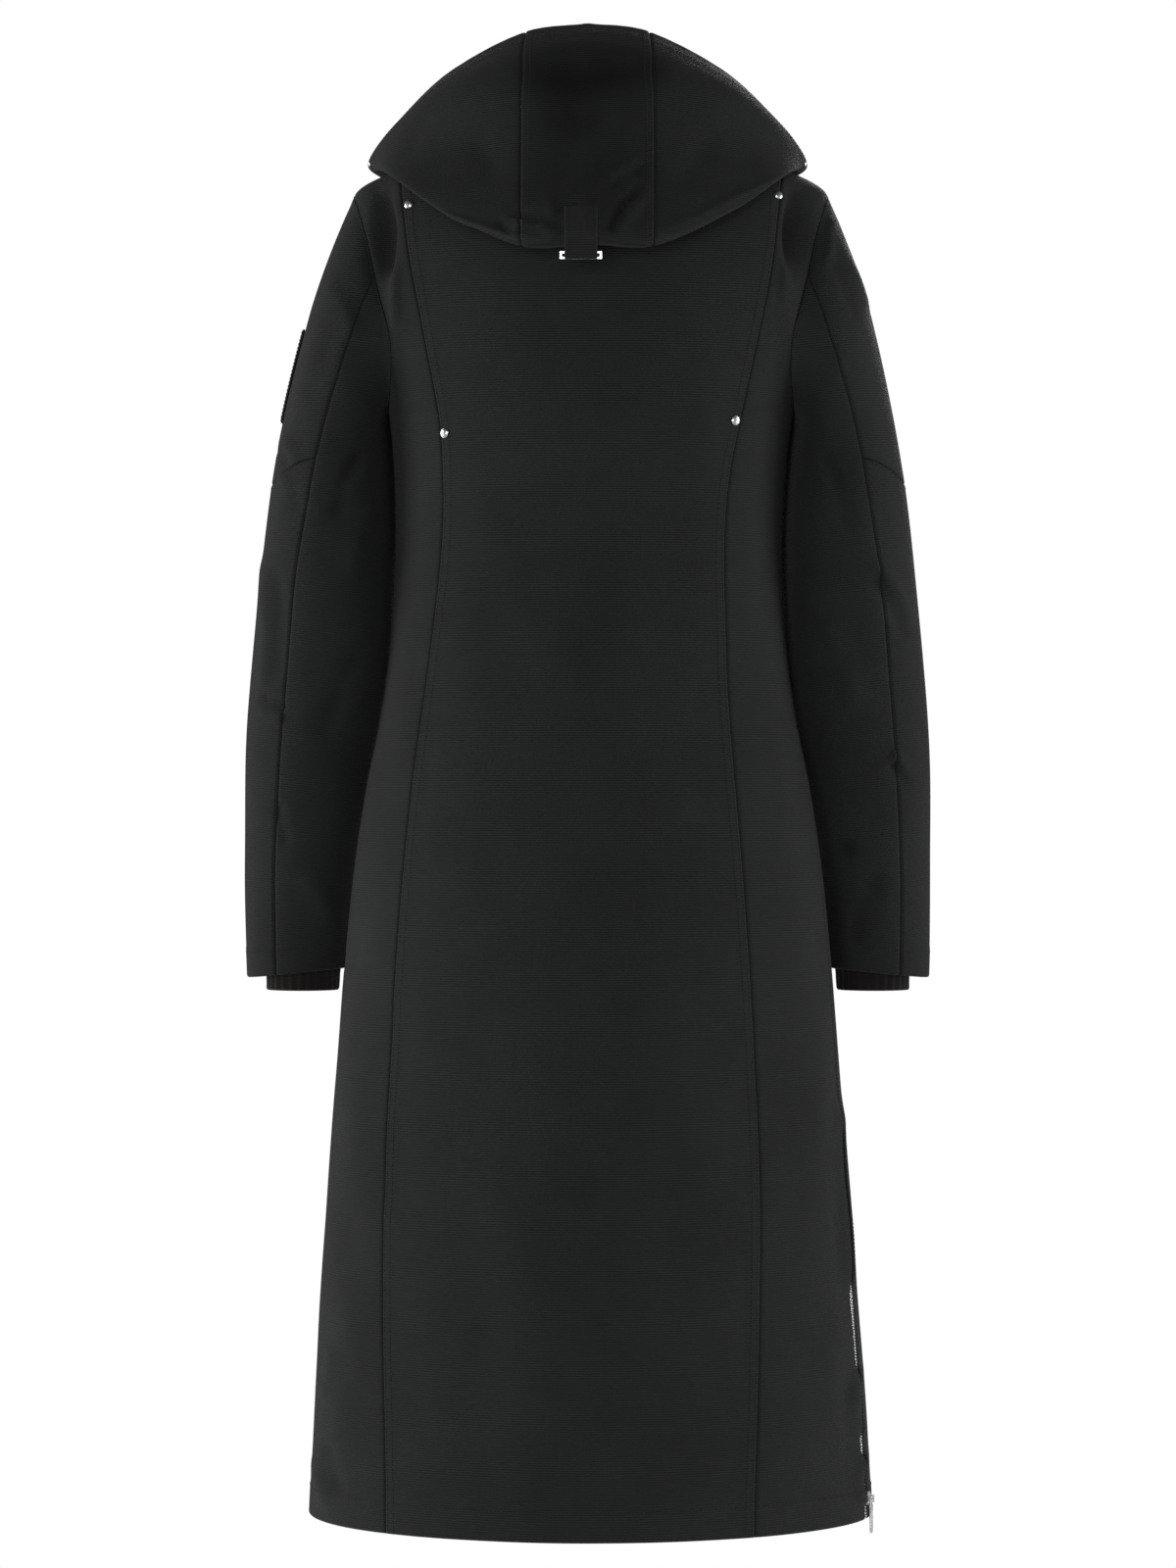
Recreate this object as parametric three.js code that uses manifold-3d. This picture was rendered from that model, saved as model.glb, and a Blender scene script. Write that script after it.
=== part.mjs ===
// A long hooded parka, filled out as if worn, with its hood down on the back.
// Millimetres, +Z up. The front faces -Y, the back +Y, and +X is the wearer's left.
// The origin is at the neck points, where the shoulders carry the garment.

import * as THREE from 'three';
import Module from 'manifold-3d';

// Driving dimensions of the cloth
const wall = 2.6;
const seamGap = 0.3;
const tapeWall = 1;
const sleevePower = 2.2;

// The neck edge drops to the front and rises at the nape, each from a height of its own
const neckDrop = 65;
const neckDropFrom = -160;
const neckDropPower = 1.6;
const napeRise = 8;
const napeRiseFrom = -60;

// Zips: half the space between the cloth edges, half the tape, and where the side zips start
const zipHalfSpace = 3;
const tapeHalf = 12;
const flatBesideZip = 15;
const sideZipTop = -812;
const sideZipSpreads = 8;
const tapeClear = 0.1;
const hem = -1126;
const armpit = -235;

// The long back seams end in the shoulder seams between these heights
const seamTop = -40;
const seamMiddle = -33;
const seamEnd = -26;
const sideTip = { z: -27, beside: 0.4, angle: 1.2 };

// Columns of a panel of the body, and the turn between its edge and the next column at the armhole
const centreColumns = 14;
const sideColumns = 4;
const frontColumns = 7;
const besideArmhole = 4;

// Horizontal sections of the body: half width, depth of its back and front half, and how square they are
const torso = [
  { z: -1126, half: 230, back: 161, front: 158, power: 1.95 },
  { z: -937, half: 218.5, back: 154, front: 150, power: 2.0 },
  { z: -769, half: 205.5, back: 145, front: 143, power: 2.05 },
  { z: -626, half: 193.5, back: 138, front: 137, power: 2.1 },
  { z: -542, half: 182, back: 131, front: 132, power: 2.15 },
  { z: -466, half: 167.5, back: 123, front: 127, power: 2.2 },
  { z: -380, half: 158.5, back: 117, front: 124, power: 2.3 },
  { z: -300, half: 158.5, back: 119, front: 128, power: 2.35 },
  { z: -235, half: 164.5, back: 125, front: 133, power: 2.4 },
  { z: -180, half: 178, back: 124, front: 130, power: 2.4 },
  { z: -141, half: 190, back: 120, front: 122, power: 2.4 },
  { z: -94, half: 193, back: 112, front: 110, power: 2.4 },
  { z: -53, half: 193, back: 92, front: 86, power: 2.4 },
  { z: -40, half: 176, back: 84, front: 80, power: 2.4 },
  { z: -26, half: 140, back: 75, front: 73, power: 2.4 },
  { z: 0, half: 80, back: 62, front: 62, power: 2.3 },
];

// The garment hangs a little turned and aside: how far its back centre lies to the left of its
// middle, and how far that middle lies to the left of the origin
const hang = [
  { z: -1126, shift: 17, lean: 0 },
  { z: -866, shift: 13.5, lean: 2 },
  { z: -529, shift: 11.4, lean: 2.4 },
  { z: -370, shift: 5.6, lean: 2 },
  { z: -284, shift: 2.7, lean: 1 },
  { z: -235, shift: 0.5, lean: 0 },
  { z: 0, shift: 0, lean: 0 },
];

// Long back seams: half the width of the centre panel
const backSeam = [
  { z: -1126, half: 146 },
  { z: -866, half: 150 },
  { z: -632, half: 138 },
  { z: -425, half: 118.5 },
  { z: -330, half: 113 },
  { z: -256, half: 118 },
  { z: -168, half: 135 },
  { z: -105, half: 146.8 },
  { z: -40, half: 154 },
];

// Side seams: how far behind the middle each runs
const sideSeam = [
  { z: -1126, left: -38, right: 37 },
  { z: -812, left: -30, right: 35 },
  { z: -600, left: -20, right: 25 },
  { z: -400, left: -8, right: 11 },
  { z: -235, left: 0, right: 0 },
  { z: 0, left: 0, right: 0 },
];

// The armhole by its turn from the shoulder tip (0) to the armpit (180)
const armhole = [
  { turn: 0, z: -53, angle: 0 },
  { turn: 20, z: -64, angle: 14.5 },
  { turn: 40, z: -89, angle: 21.5 },
  { turn: 58, z: -116, angle: 26 },
  { turn: 80, z: -145, angle: 29.2 },
  { turn: 100, z: -170, angle: 28.6 },
  { turn: 120, z: -193, angle: 25 },
  { turn: 140, z: -212, angle: 18.5 },
  { turn: 160, z: -227, angle: 10 },
  { turn: 180, z: -235, angle: 0 },
];

// Slanting sections of the sleeve: its outer and inner line, the place of its middle and its half depth
const sleeve = [
  { along: 0, outX: 194, outZ: -53, inX: 166, inZ: -235, y: 0, depth: 68 },
  { along: 0.08, outX: 214, outZ: -98, inX: 165.5, inZ: -241, y: -2, depth: 74 },
  { along: 0.17, outX: 231, outZ: -158, inX: 164.3, inZ: -247, y: -4, depth: 76 },
  { along: 0.27, outX: 247, outZ: -225, inX: 163.4, inZ: -255, y: -7, depth: 74 },
  { along: 0.36, outX: 259, outZ: -289, inX: 161.6, inZ: -272, y: -11, depth: 71 },
  { along: 0.45, outX: 267, outZ: -348, inX: 158.9, inZ: -330, y: -18, depth: 69 },
  { along: 0.6, outX: 277.5, outZ: -445, inX: 162.1, inZ: -430, y: -36, depth: 65 },
  { along: 0.71, outX: 282.5, outZ: -515, inX: 172.5, inZ: -503, y: -50, depth: 61 },
  { along: 0.84, outX: 284.5, outZ: -600, inX: 187, inZ: -591, y: -68, depth: 57 },
  { along: 0.92, outX: 284.5, outZ: -650, inX: 191, inZ: -642, y: -79, depth: 52 },
  { along: 1, outX: 284, outZ: -693, inX: 192, inZ: -684, y: -88, depth: 47 },
];

// The outer line leans to the left by this much; the inner line leans with the body
const sleeveLean = 2.6;
const sleeveSeamTurn = [
  { along: 0, turn: 58 },
  { along: 0.06, turn: 72 },
  { along: 0.13, turn: 86 },
  { along: 0.24, turn: 84 },
  { along: 0.36, turn: 78 },
  { along: 0.5, turn: 68 },
  { along: 1, turn: 67 },
];
const elbowAlong = 0.36;
const leanFrom = 0.4;
const elbowSlope = 0.022;
const headBlend = 0.16;

// Soft folds of the back, as (half) places in X and Z with their reach and depth
const foldStart = 0.3;
const folds = [
  { x: 173, z: -84, reachX: 9, reachZ: 34, depth: -7 },
  { x: 160, z: -205, reachX: 9, reachZ: 95, depth: 5 },
  { x: 146, z: -330, reachX: 12, reachZ: 70, depth: -4 },
  { x: 60, z: -420, reachX: 34, reachZ: 150, depth: -3 },
];

// The hood by its turn from the middle of the back (0) to the throat (180):
// the rim, two places down its outer side, the fold at its foot and two places on its way back
const hood = [
  {
    turn: 0, rim: [0, 46, 82], high: [0, 96, 50], low: [0, 134, -30],
    foot: [0, 184, -106], back: [0, 146, -106], seat: [0, 96, -24],
  },
  {
    turn: 30, rim: [50, 45, 75], high: [53, 92, 44], low: [53, 126, -30],
    foot: [52, 174, -110], back: [50, 138, -102], seat: [48, 92, -19],
  },
  {
    turn: 60, rim: [110, 36, 45], high: [117, 70, 22], low: [119, 92, -24],
    foot: [116, 132, -80], back: [110, 106, -70], seat: [89, 68, -11],
  },
  {
    turn: 80, rim: [153, 20, 7], high: [160, 40, -5], low: [162, 56, -25],
    foot: [158, 78, -46], back: [146, 62, -38], seat: [117, 37, -9],
  },
  {
    turn: 96, rim: [173, 2, -22], high: [178, 6, -25], low: [178, 10, -30],
    foot: [171, 12, -34], back: [150, 8, -25], seat: [116, -4, -10],
  },
  {
    turn: 115, rim: [161, -44, -16], high: [166, -46, -22], low: [166, -46, -30],
    foot: [159, -44, -36], back: [140, -38, -28], seat: [106, -30, -14],
  },
  {
    turn: 135, rim: [126, -82, -8], high: [131, -86, -20], low: [131, -87, -34],
    foot: [122, -84, -46], back: [106, -76, -44], seat: [80, -64, -29],
  },
  {
    turn: 156, rim: [70, -108, 0], high: [73, -112, -14], low: [74, -113, -32],
    foot: [68, -110, -50], back: [58, -102, -56], seat: [45, -90, -50],
  },
  {
    turn: 178, rim: [3.6, -118, 6], high: [3.6, -121, -10], low: [3.6, -121, -28],
    foot: [3.6, -118, -45], back: [3.6, -111, -56], seat: [3.6, -104, -62],
  },
];
const hoodLean = 2.8;
const hoodSeamTurn = 30;
const throatTurn = 178;
const besideThroatTurn = 166;

// Small trim on the back and the left sleeve
const rivetRadius = 3.75;
const rivetHeight = 1.6;
const studLift = 0.3;
const studSides = 12;
const studProfile = [
  { out: 0, up: 0 },
  { out: 0.94, up: 0 },
  { out: 1, up: 0.3 },
  { out: 0.82, up: 0.75 },
  { out: 0.4, up: 1 },
  { out: 0, up: 1 },
];
const rivets = [
  { name: 'rivet_top_left', x: 146, z: -68 },
  { name: 'rivet_top_right', x: -150, z: -60 },
  { name: 'rivet_mid_left', x: 116, z: -253 },
  { name: 'rivet_mid_right', x: -114.5, z: -243 },
];
const tipStudRadius = 2.4;
const tipStudHeight = 1.2;
const tipStudTurn = 92;
const tipStudDown = 0.33;
const tab = { x: 5.5, half: 14, top: -81, free: -104, flat: -116, foot: -124.5, wall: 1.6, lift: 0.9 };
const tabBar = { half: 16.5, high: 6.4, wire: 2, z: -121.2 };
const patch = { from: 0.175, to: 0.288, turnFront: -50, turnBack: 7, wall: 1.6, lift: 0.6 };

// Knitted cuffs
const cuff = {
  from: 0.935, narrow: 0.962, reach: 15, radius: 30, flare: 3, inset: 1.1,
  ribs: 26, ribHeight: 0.9, wall: 2.4,
};

// Zip hardware in its own frame: X across the zip, Y outwards, Z up
const slider = { wide: 7.5, high: 10, thick: 2.2, lift: 0.8, stemWide: 3, stemHigh: 7, stemFoot: -2.4 };
const bail = { wide: 1.6, bar: 1, leg: 1.2, roomOut: 3, roomUp: 1.9 };
const pull = {
  thick: 1.6, bar: 1.6, holeHalf: 1.4, holeLow: 4.6, arm: 1.7, long: 28, endHalf: 2.6,
  shoulder: 1.5, waist: 4, waistHalf: 2.1, corner: 2.5, cornerIn: 1.2,
};
const sideSliderZ = -1109;
const frontSliderZ = -14;

const cloth = new THREE.MeshStandardMaterial({ color: 0x242626, roughness: 0.92, metalness: 0 });
const knit = new THREE.MeshStandardMaterial({ color: 0x1b1a1a, roughness: 0.95, metalness: 0 });
const tapeCloth = new THREE.MeshStandardMaterial({ color: 0x171818, roughness: 0.9, metalness: 0 });
const patchCloth = new THREE.MeshStandardMaterial({ color: 0x1d1f1f, roughness: 0.85, metalness: 0 });
const silver = new THREE.MeshStandardMaterial({ color: 0xc2c4c6, roughness: 0.3, metalness: 1 });

const wasm = await Module();
wasm.setup();
const parka = new THREE.Group();

const radians = (degrees) => (degrees * Math.PI) / 180;
const mix = (a, b, t) => a + (b - a) * t;

function smoothStep(from, to, value) {
  const t = Math.min(Math.max((value - from) / (to - from), 0), 1);
  return t * t * (3 - 2 * t);
}

// A smooth value of a table's column between its rows, which are in the order of the key column
function along(table, key, place, column) {
  const rising = table[0][key] < table[table.length - 1][key];
  const ahead = table.findIndex((row) => (rising ? row[key] >= place : row[key] <= place));
  const last = table.length - 1;
  const high = ahead < 0 ? last : Math.max(ahead, 1);
  const low = high - 1;
  const slope = (a, b) => (table[b][column] - table[a][column]) / (table[b][key] - table[a][key]);
  const span = table[high][key] - table[low][key];
  const t = Math.min(Math.max((place - table[low][key]) / span, 0), 1);
  const start = slope(Math.max(low - 1, 0), high) * span;
  const end = slope(low, Math.min(high + 1, last)) * span;
  const from = table[low][column];
  const to = table[high][column];
  const curve = (2 * from - 2 * to + start + end) * t ** 3 + (3 * to - 3 * from - 2 * start - end) * t ** 2;
  return curve + start * t + from;
}

function superEllipse(degrees, power) {
  const c = Math.cos(radians(degrees));
  const s = Math.sin(radians(degrees));
  return {
    c: Math.sign(c) * Math.abs(c) ** (2 / power),
    s: Math.sign(s) * Math.abs(s) ** (2 / power),
  };
}

function normalOf(pointAt, u, v, stepU, stepV) {
  const alongU = pointAt(u + stepU, v).sub(pointAt(u - stepU, v));
  const alongV = pointAt(u, v + stepV).sub(pointAt(u, v - stepV));
  return alongU.cross(alongV).normalize();
}

// Body: side is 1 on the left and -1 on the right, the angle is 90 at the back centre and -90 in front

function foldDepth(x, z) {
  let depth = 0;
  for (const fold of folds) {
    const acrossX = (Math.abs(x) - fold.x) / fold.reachX;
    const acrossZ = (z - fold.z) / fold.reachZ;
    depth += fold.depth * Math.exp(-(acrossX ** 2) - acrossZ ** 2);
  }
  return depth;
}

function torsoPoint(side, angle, row, height = row) {
  const inRange = Math.min(Math.max(row, hem), 0);
  const turn = superEllipse(angle, along(torso, 'z', inRange, 'power'));
  const x = side * along(torso, 'z', inRange, 'half') * turn.c;
  const depth = along(torso, 'z', Math.max(height, hem), turn.s < 0 ? 'front' : 'back');
  const fold = turn.s > 0 ? foldDepth(x, height) * smoothStep(0, foldStart, turn.s) : 0;
  return new THREE.Vector3(x + along(hang, 'z', inRange, 'lean'), depth * turn.s + fold, height);
}

function torsoNormal(side, angle, row) {
  const away = Math.abs(angle) < 2 ? 2 : 1;
  const level = Math.min(Math.max(row, hem + 1), -1);
  const normal = normalOf((a, z) => torsoPoint(side, a, z), angle, level, away, 1);
  return normal.multiplyScalar(side);
}

function angleOfX(x, z) {
  const part = Math.min(Math.abs(x) / along(torso, 'z', z, 'half'), 1);
  const angle = Math.acos(part ** (along(torso, 'z', z, 'power') / 2)) / radians(1);
  return x < 0 ? 180 - angle : angle;
}

function angleOfY(y, z) {
  const part = Math.min(Math.abs(y) / along(torso, 'z', z, y < 0 ? 'front' : 'back'), 1);
  return (Math.sign(y) * Math.asin(part ** (along(torso, 'z', z, 'power') / 2))) / radians(1);
}

const shiftAt = (z) => along(hang, 'z', z, 'shift');
const sideY = (side, z) => along(sideSeam, 'z', z, side > 0 ? 'left' : 'right');
const centreX = (side, z) => -side * shiftAt(z);
const backSeamAngle = (side, z) => angleOfX(along(backSeam, 'z', z, 'half') + side * shiftAt(z), z);

function sideSpace(z) {
  return zipHalfSpace * smoothStep(sideZipTop + sideZipSpreads, sideZipTop - sideZipSpreads, z);
}

// The centre panel's edge follows the long seam and then runs out to the shoulder seam
function centreEdgeAngle(side, z) {
  const share = Math.min(Math.max((seamEnd - z) / (seamEnd - seamTop), 0), 1);
  return backSeamAngle(side, Math.min(z, seamTop)) * share;
}

// Rows of the body from the hem to the neck; those beside the armhole fall on the sleeve's own columns
const underTurns = [180, 160, 140, 120, 100, 79, 58];
const upperTurns = [58, 39, 20, 0];
const skirtRows = [hem, -1030, -930, -812, -780, -690, -600, -520, -450, -390, -330, -280, armpit];
const shoulderRows = [seamTop, seamMiddle, seamEnd, -10, 0];

function bodyRows() {
  const rows = skirtRows.slice(0, -1).map((z) => ({ z, turn: null }));
  for (const turn of underTurns.concat(upperTurns.slice(1))) {
    rows.push({ z: along(armhole, 'turn', turn, 'z'), turn });
  }
  return rows.concat(shoulderRows.map((z) => ({ z, turn: null })));
}

function sideEdgeAngle(side, row, towards) {
  if (row.turn !== null) {
    return towards * along(armhole, 'turn', row.turn, 'angle');
  }
  if (row.z > armpit) {
    return 0;
  }
  return angleOfY(sideY(side, row.z) + towards * sideSpace(row.z), row.z);
}

function besideSideAngle(side, row, towards) {
  if (row.turn !== null || row.z > armpit) {
    return sideEdgeAngle(side, row, towards) + towards * besideArmhole;
  }
  return angleOfY(sideY(side, row.z) + towards * flatBesideZip, row.z);
}

// A cloth wall from a grid of places {p, n}: n points out of the wall's outer face

function wallMesh(name, grid, material, thickness = wall) {
  const rows = grid.length;
  const columns = grid[0].length;
  const positions = [];
  for (const depth of [0, thickness]) {
    for (const row of grid) {
      for (const place of row) {
        const p = place.p.clone().addScaledVector(place.n, -depth);
        positions.push(p.x, p.y, p.z);
      }
    }
  }
  const at = (layer, i, j) => layer * rows * columns + i * columns + j;
  const faces = [];
  const quad = (a, b, c, d) => faces.push([a, b, c], [a, c, d]);
  for (let i = 0; i + 1 < rows; i += 1) {
    for (let j = 0; j + 1 < columns; j += 1) {
      quad(at(0, i, j), at(0, i, j + 1), at(0, i + 1, j + 1), at(0, i + 1, j));
      quad(at(1, i, j), at(1, i + 1, j), at(1, i + 1, j + 1), at(1, i, j + 1));
    }
  }
  for (let j = 0; j + 1 < columns; j += 1) {
    quad(at(0, 0, j), at(1, 0, j), at(1, 0, j + 1), at(0, 0, j + 1));
    quad(at(0, rows - 1, j), at(0, rows - 1, j + 1), at(1, rows - 1, j + 1), at(1, rows - 1, j));
  }
  for (let i = 0; i + 1 < rows; i += 1) {
    quad(at(0, i, 0), at(0, i + 1, 0), at(1, i + 1, 0), at(1, i, 0));
    quad(at(0, i, columns - 1), at(1, i, columns - 1), at(1, i + 1, columns - 1), at(0, i + 1, columns - 1));
  }
  return solidMesh(name, positions, faces, material);
}

// A closed ring of cloth: every row of the grid closes on itself
function tubeMesh(name, grid, material, thickness) {
  const rows = grid.length;
  const columns = grid[0].length;
  const positions = [];
  for (const layer of [0, 1]) {
    for (const row of grid) {
      for (const place of row) {
        const from = layer ? place.inner : place.p;
        const p = from.clone().addScaledVector(place.n, layer ? -thickness : 0);
        positions.push(p.x, p.y, p.z);
      }
    }
  }
  const at = (layer, i, j) => layer * rows * columns + i * columns + (j % columns);
  const faces = [];
  const quad = (a, b, c, d) => faces.push([a, b, c], [a, c, d]);
  for (let j = 0; j < columns; j += 1) {
    for (let i = 0; i + 1 < rows; i += 1) {
      quad(at(0, i, j), at(0, i, j + 1), at(0, i + 1, j + 1), at(0, i + 1, j));
      quad(at(1, i, j), at(1, i + 1, j), at(1, i + 1, j + 1), at(1, i, j + 1));
    }
    quad(at(0, 0, j), at(1, 0, j), at(1, 0, j + 1), at(0, 0, j + 1));
    quad(at(0, rows - 1, j), at(0, rows - 1, j + 1), at(1, rows - 1, j + 1), at(1, rows - 1, j));
  }
  return solidMesh(name, positions, faces, material);
}

// Turns the faces so that the solid's volume is positive, and adds it to the garment
function solidMesh(name, positions, faces, material) {
  const corner = (index) => new THREE.Vector3().fromArray(positions, index * 3);
  let volume = 0;
  for (const [a, b, c] of faces) {
    volume += corner(a).dot(corner(b).cross(corner(c)));
  }
  const index = faces.flatMap(([a, b, c]) => (volume > 0 ? [a, b, c] : [a, c, b]));
  const geometry = new THREE.BufferGeometry();
  geometry.setAttribute('position', new THREE.Float32BufferAttribute(positions, 3));
  geometry.setIndex(index);
  geometry.computeVertexNormals();
  const mesh = new THREE.Mesh(geometry, material);
  mesh.name = name;
  parka.add(mesh);
  return mesh;
}

// Draws the edges of a grid in by half a seam's gap, so that neighbours stay just clear
function drawnIn(grid, edges) {
  const last = grid[0].length - 1;
  const toward = (place, next) => {
    const step = next.p.clone().sub(place.p).normalize();
    return { ...place, p: place.p.clone().addScaledVector(step, seamGap / 2) };
  };
  let rows = grid.map((row) => row.slice());
  if (edges.includes('left')) {
    rows = rows.map((row) => [toward(row[0], row[1]), ...row.slice(1)]);
  }
  if (edges.includes('right')) {
    rows = rows.map((row) => [...row.slice(0, last), toward(row[last], row[last - 1])]);
  }
  if (edges.includes('bottom')) {
    rows[0] = rows[0].map((place, j) => toward(place, rows[1][j]));
  }
  if (edges.includes('top')) {
    const top = rows.length - 1;
    rows[top] = rows[top].map((place, j) => toward(place, rows[top - 1][j]));
  }
  return rows;
}

const spread = (from, to, count) => Array.from({ length: count + 1 }, (_, i) => mix(from, to, i / count));

// Where body and sleeve meet, both walls are cut along the same direction
function armholePlace(side, turn, towards) {
  const z = along(armhole, 'turn', turn, 'z');
  const angle = towards * along(armhole, 'turn', turn, 'angle');
  const fromBody = torsoNormal(side, angle, z);
  const fromSleeve = sleeveNormal(side, towards * turn, 0.03);
  return { p: torsoPoint(side, angle, z), n: fromBody.add(fromSleeve).normalize() };
}

function bodyPlace(side, angle, row, height = row.z) {
  return { p: torsoPoint(side, angle, row.z, height), n: torsoNormal(side, angle, row.z) };
}

// Keeps the sideways parts of the body's edge on the armhole
function onArmhole(places, side, row, towards) {
  if (row.turn === null) {
    return places;
  }
  return [armholePlace(side, row.turn, towards), ...places.slice(1)];
}

function backCentre() {
  const grid = bodyRows().map((row) => {
    const left = centreEdgeAngle(1, row.z);
    const right = centreEdgeAngle(-1, row.z);
    return spread(left, 180 - right, centreColumns).map((angle) => {
      const middle = Math.sin(radians(angle)) ** 2;
      const height = row.z + napeRise * middle * smoothStep(napeRiseFrom, 0, row.z);
      return bodyPlace(1, angle, row, height);
    });
  });
  wallMesh('back_centre', drawnIn(grid, ['left', 'right', 'top']), cloth);
}

function backSide(side, name) {
  const rows = bodyRows().filter((row) => row.z <= seamMiddle);
  const grid = rows.map((row) => {
    const edge = sideEdgeAngle(side, row, 1);
    const inner = centreEdgeAngle(side, row.z);
    const beside = Math.min(besideSideAngle(side, row, 1), mix(edge, inner, 0.4));
    const angles = [edge, ...spread(beside, inner, sideColumns)];
    return onArmhole(angles.map((angle) => bodyPlace(side, angle, row)), side, row, 1);
  });
  const tip = { z: sideTip.z, turn: null };
  const tipAngles = [0, ...spread(sideTip.beside, sideTip.angle, sideColumns)];
  grid.push(tipAngles.map((angle) => bodyPlace(side, angle, tip)));
  wallMesh(name, drawnIn(grid, ['left', 'right', 'top']), cloth);
}

function front(side, name) {
  const grid = bodyRows().map((row) => {
    const edge = sideEdgeAngle(side, row, -1);
    const beside = besideSideAngle(side, row, -1);
    const middle = centreX(side, row.z);
    const centre = -angleOfX(middle + zipHalfSpace, row.z);
    const besideCentre = -angleOfX(middle + flatBesideZip, row.z);
    const angles = [edge, ...spread(beside, besideCentre, frontColumns), centre];
    const places = angles.map((angle) => {
      const part = (angle - edge) / (centre - edge);
      const drop = neckDrop * Math.max(part, 0) ** neckDropPower;
      const height = row.z - drop * smoothStep(neckDropFrom, 0, row.z);
      return bodyPlace(side, angle, row, height);
    });
    return onArmhole(places, side, row, -1);
  });
  wallMesh(name, drawnIn(grid, ['left', 'top']), cloth);
}

// Sleeves: the turn is 0 at the outside, 90 at the back, 180 at the inside and -90 in front

function sleeveSection(side, turn, place) {
  const value = (column) => along(sleeve, 'along', place, column);
  const shape = superEllipse(turn, sleevePower);
  const outer = new THREE.Vector3(side * value('outX'), 0, value('outZ'));
  const inner = new THREE.Vector3(side * value('inX'), 0, value('inZ'));
  outer.x += sleeveLean * smoothStep(0, leanFrom, place);
  inner.x += along(hang, 'z', value('inZ'), 'lean');
  const middle = outer.clone().add(inner).multiplyScalar(0.5);
  const reach = outer.sub(inner).multiplyScalar(0.5 * shape.c);
  return middle.add(reach).add(new THREE.Vector3(0, value('y') + value('depth') * shape.s, 0));
}

function armholePoint(side, turn) {
  const towards = turn < 0 ? -1 : 1;
  const size = Math.min(Math.abs(turn), 180);
  const z = along(armhole, 'turn', size, 'z');
  return torsoPoint(side, towards * along(armhole, 'turn', size, 'angle'), z);
}

function sleevePoint(side, turn, place) {
  const section = sleeveSection(side, turn, Math.max(place, 0));
  const onBody = Math.abs(turn) > 180 ? section : armholePoint(side, turn);
  return onBody.lerp(section, smoothStep(0, headBlend, place));
}

function sleeveNormal(side, turn, place) {
  const level = Math.min(Math.max(place, 0.02), 0.99);
  const pointAt = (a, b) => sleeveSection(side, a, b);
  return normalOf(pointAt, turn, level, 1.5, 0.01).multiplyScalar(-side);
}

function sleevePlace(side, turn, place) {
  if (place <= 0) {
    return armholePlace(side, Math.min(Math.abs(turn), 180), turn < 0 ? -1 : 1);
  }
  return { p: sleevePoint(side, turn, place), n: sleeveNormal(side, turn, place) };
}

// The turns of a sleeve panel's columns, moved with the seam they start from
function seamTurns(turns, place) {
  const seam = along(sleeveSeamTurn, 'along', place, 'turn');
  return turns.map((turn) => {
    const size = Math.abs(turn);
    const moved = size <= 58 ? (size * seam) / 58 : 180 - ((180 - size) * (180 - seam)) / 122;
    return turn < 0 ? -moved : moved;
  });
}

const upperColumns = [58, 39, 20, 0, -20, -39, -58];
const underColumns = [58, 79, 100, 120, 140, 160, 180, -160, -140, -120, -100, -79, -58];
const elbowAt = (turn) => elbowAlong - elbowSlope * smoothStep(0, 60, Math.abs(turn));

function sleeveGrid(side, turns, placesOf) {
  const count = placesOf(0).length;
  return Array.from({ length: count }, (_, i) => turns.map((turn) => {
    const place = placesOf(turn)[i];
    return sleevePlace(side, seamTurns([turn], place)[0], place);
  }));
}

function sleeves(side, word) {
  const upper = sleeveGrid(side, upperColumns, (turn) => spread(0, elbowAt(turn), 5));
  wallMesh(`sleeve_upper_${word}`, drawnIn(upper, ['left', 'right', 'bottom', 'top']), cloth);
  const lower = sleeveGrid(side, upperColumns, (turn) => spread(elbowAt(turn), 1, 8));
  wallMesh(`sleeve_lower_${word}`, drawnIn(lower, ['left', 'right', 'bottom']), cloth);
  const elbow = elbowAt(60);
  const underPlaces = [...spread(0, elbow, 5), ...spread(elbow, 1, 8).slice(1)];
  const under = sleeveGrid(side, underColumns, () => underPlaces);
  wallMesh(`sleeve_under_${word}`, drawnIn(under, ['left', 'right', 'bottom']), cloth);
}

// A knitted cuff hangs inside each sleeve from a seam on its wall
function ribCuff(side, word) {
  const columns = cuff.ribs * 2;
  const levels = [
    { place: cuff.from, reach: null, drop: 0 },
    { place: cuff.narrow, reach: cuff.radius + cuff.flare, drop: 0 },
    { place: 1, reach: cuff.radius, drop: 2 },
    { place: 1, reach: cuff.radius - 0.5, drop: cuff.reach },
  ];
  const grid = levels.map((level) => Array.from({ length: columns }, (_, j) => {
    const turn = (j / columns) * 360 - 180;
    const wallPoint = sleevePoint(side, turn, level.place);
    const middle = sleeveSection(side, 90, level.place).add(sleeveSection(side, -90, level.place));
    middle.multiplyScalar(0.5).add(new THREE.Vector3(0, 0, -level.drop));
    const outward = wallPoint.clone().sub(middle.clone().setZ(wallPoint.z)).normalize();
    if (level.reach === null) {
      const p = wallPoint.addScaledVector(outward, -(wall + cuff.inset));
      return { p, inner: p.clone(), n: outward };
    }
    const round = new THREE.Vector3(side * Math.cos(radians(turn)), Math.sin(radians(turn)), 0);
    const inner = middle.clone().addScaledVector(round, level.reach);
    const raised = j % 2 ? cuff.ribHeight : 0;
    return { p: inner.clone().addScaledVector(round, raised), inner, n: round };
  }));
  tubeMesh(`rib_cuff_${word}`, grid, knit, cuff.wall);
}

// Hood: u is the turn from the back centre, v runs from the rim (0) round the foot to the neck seam (1)

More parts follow.
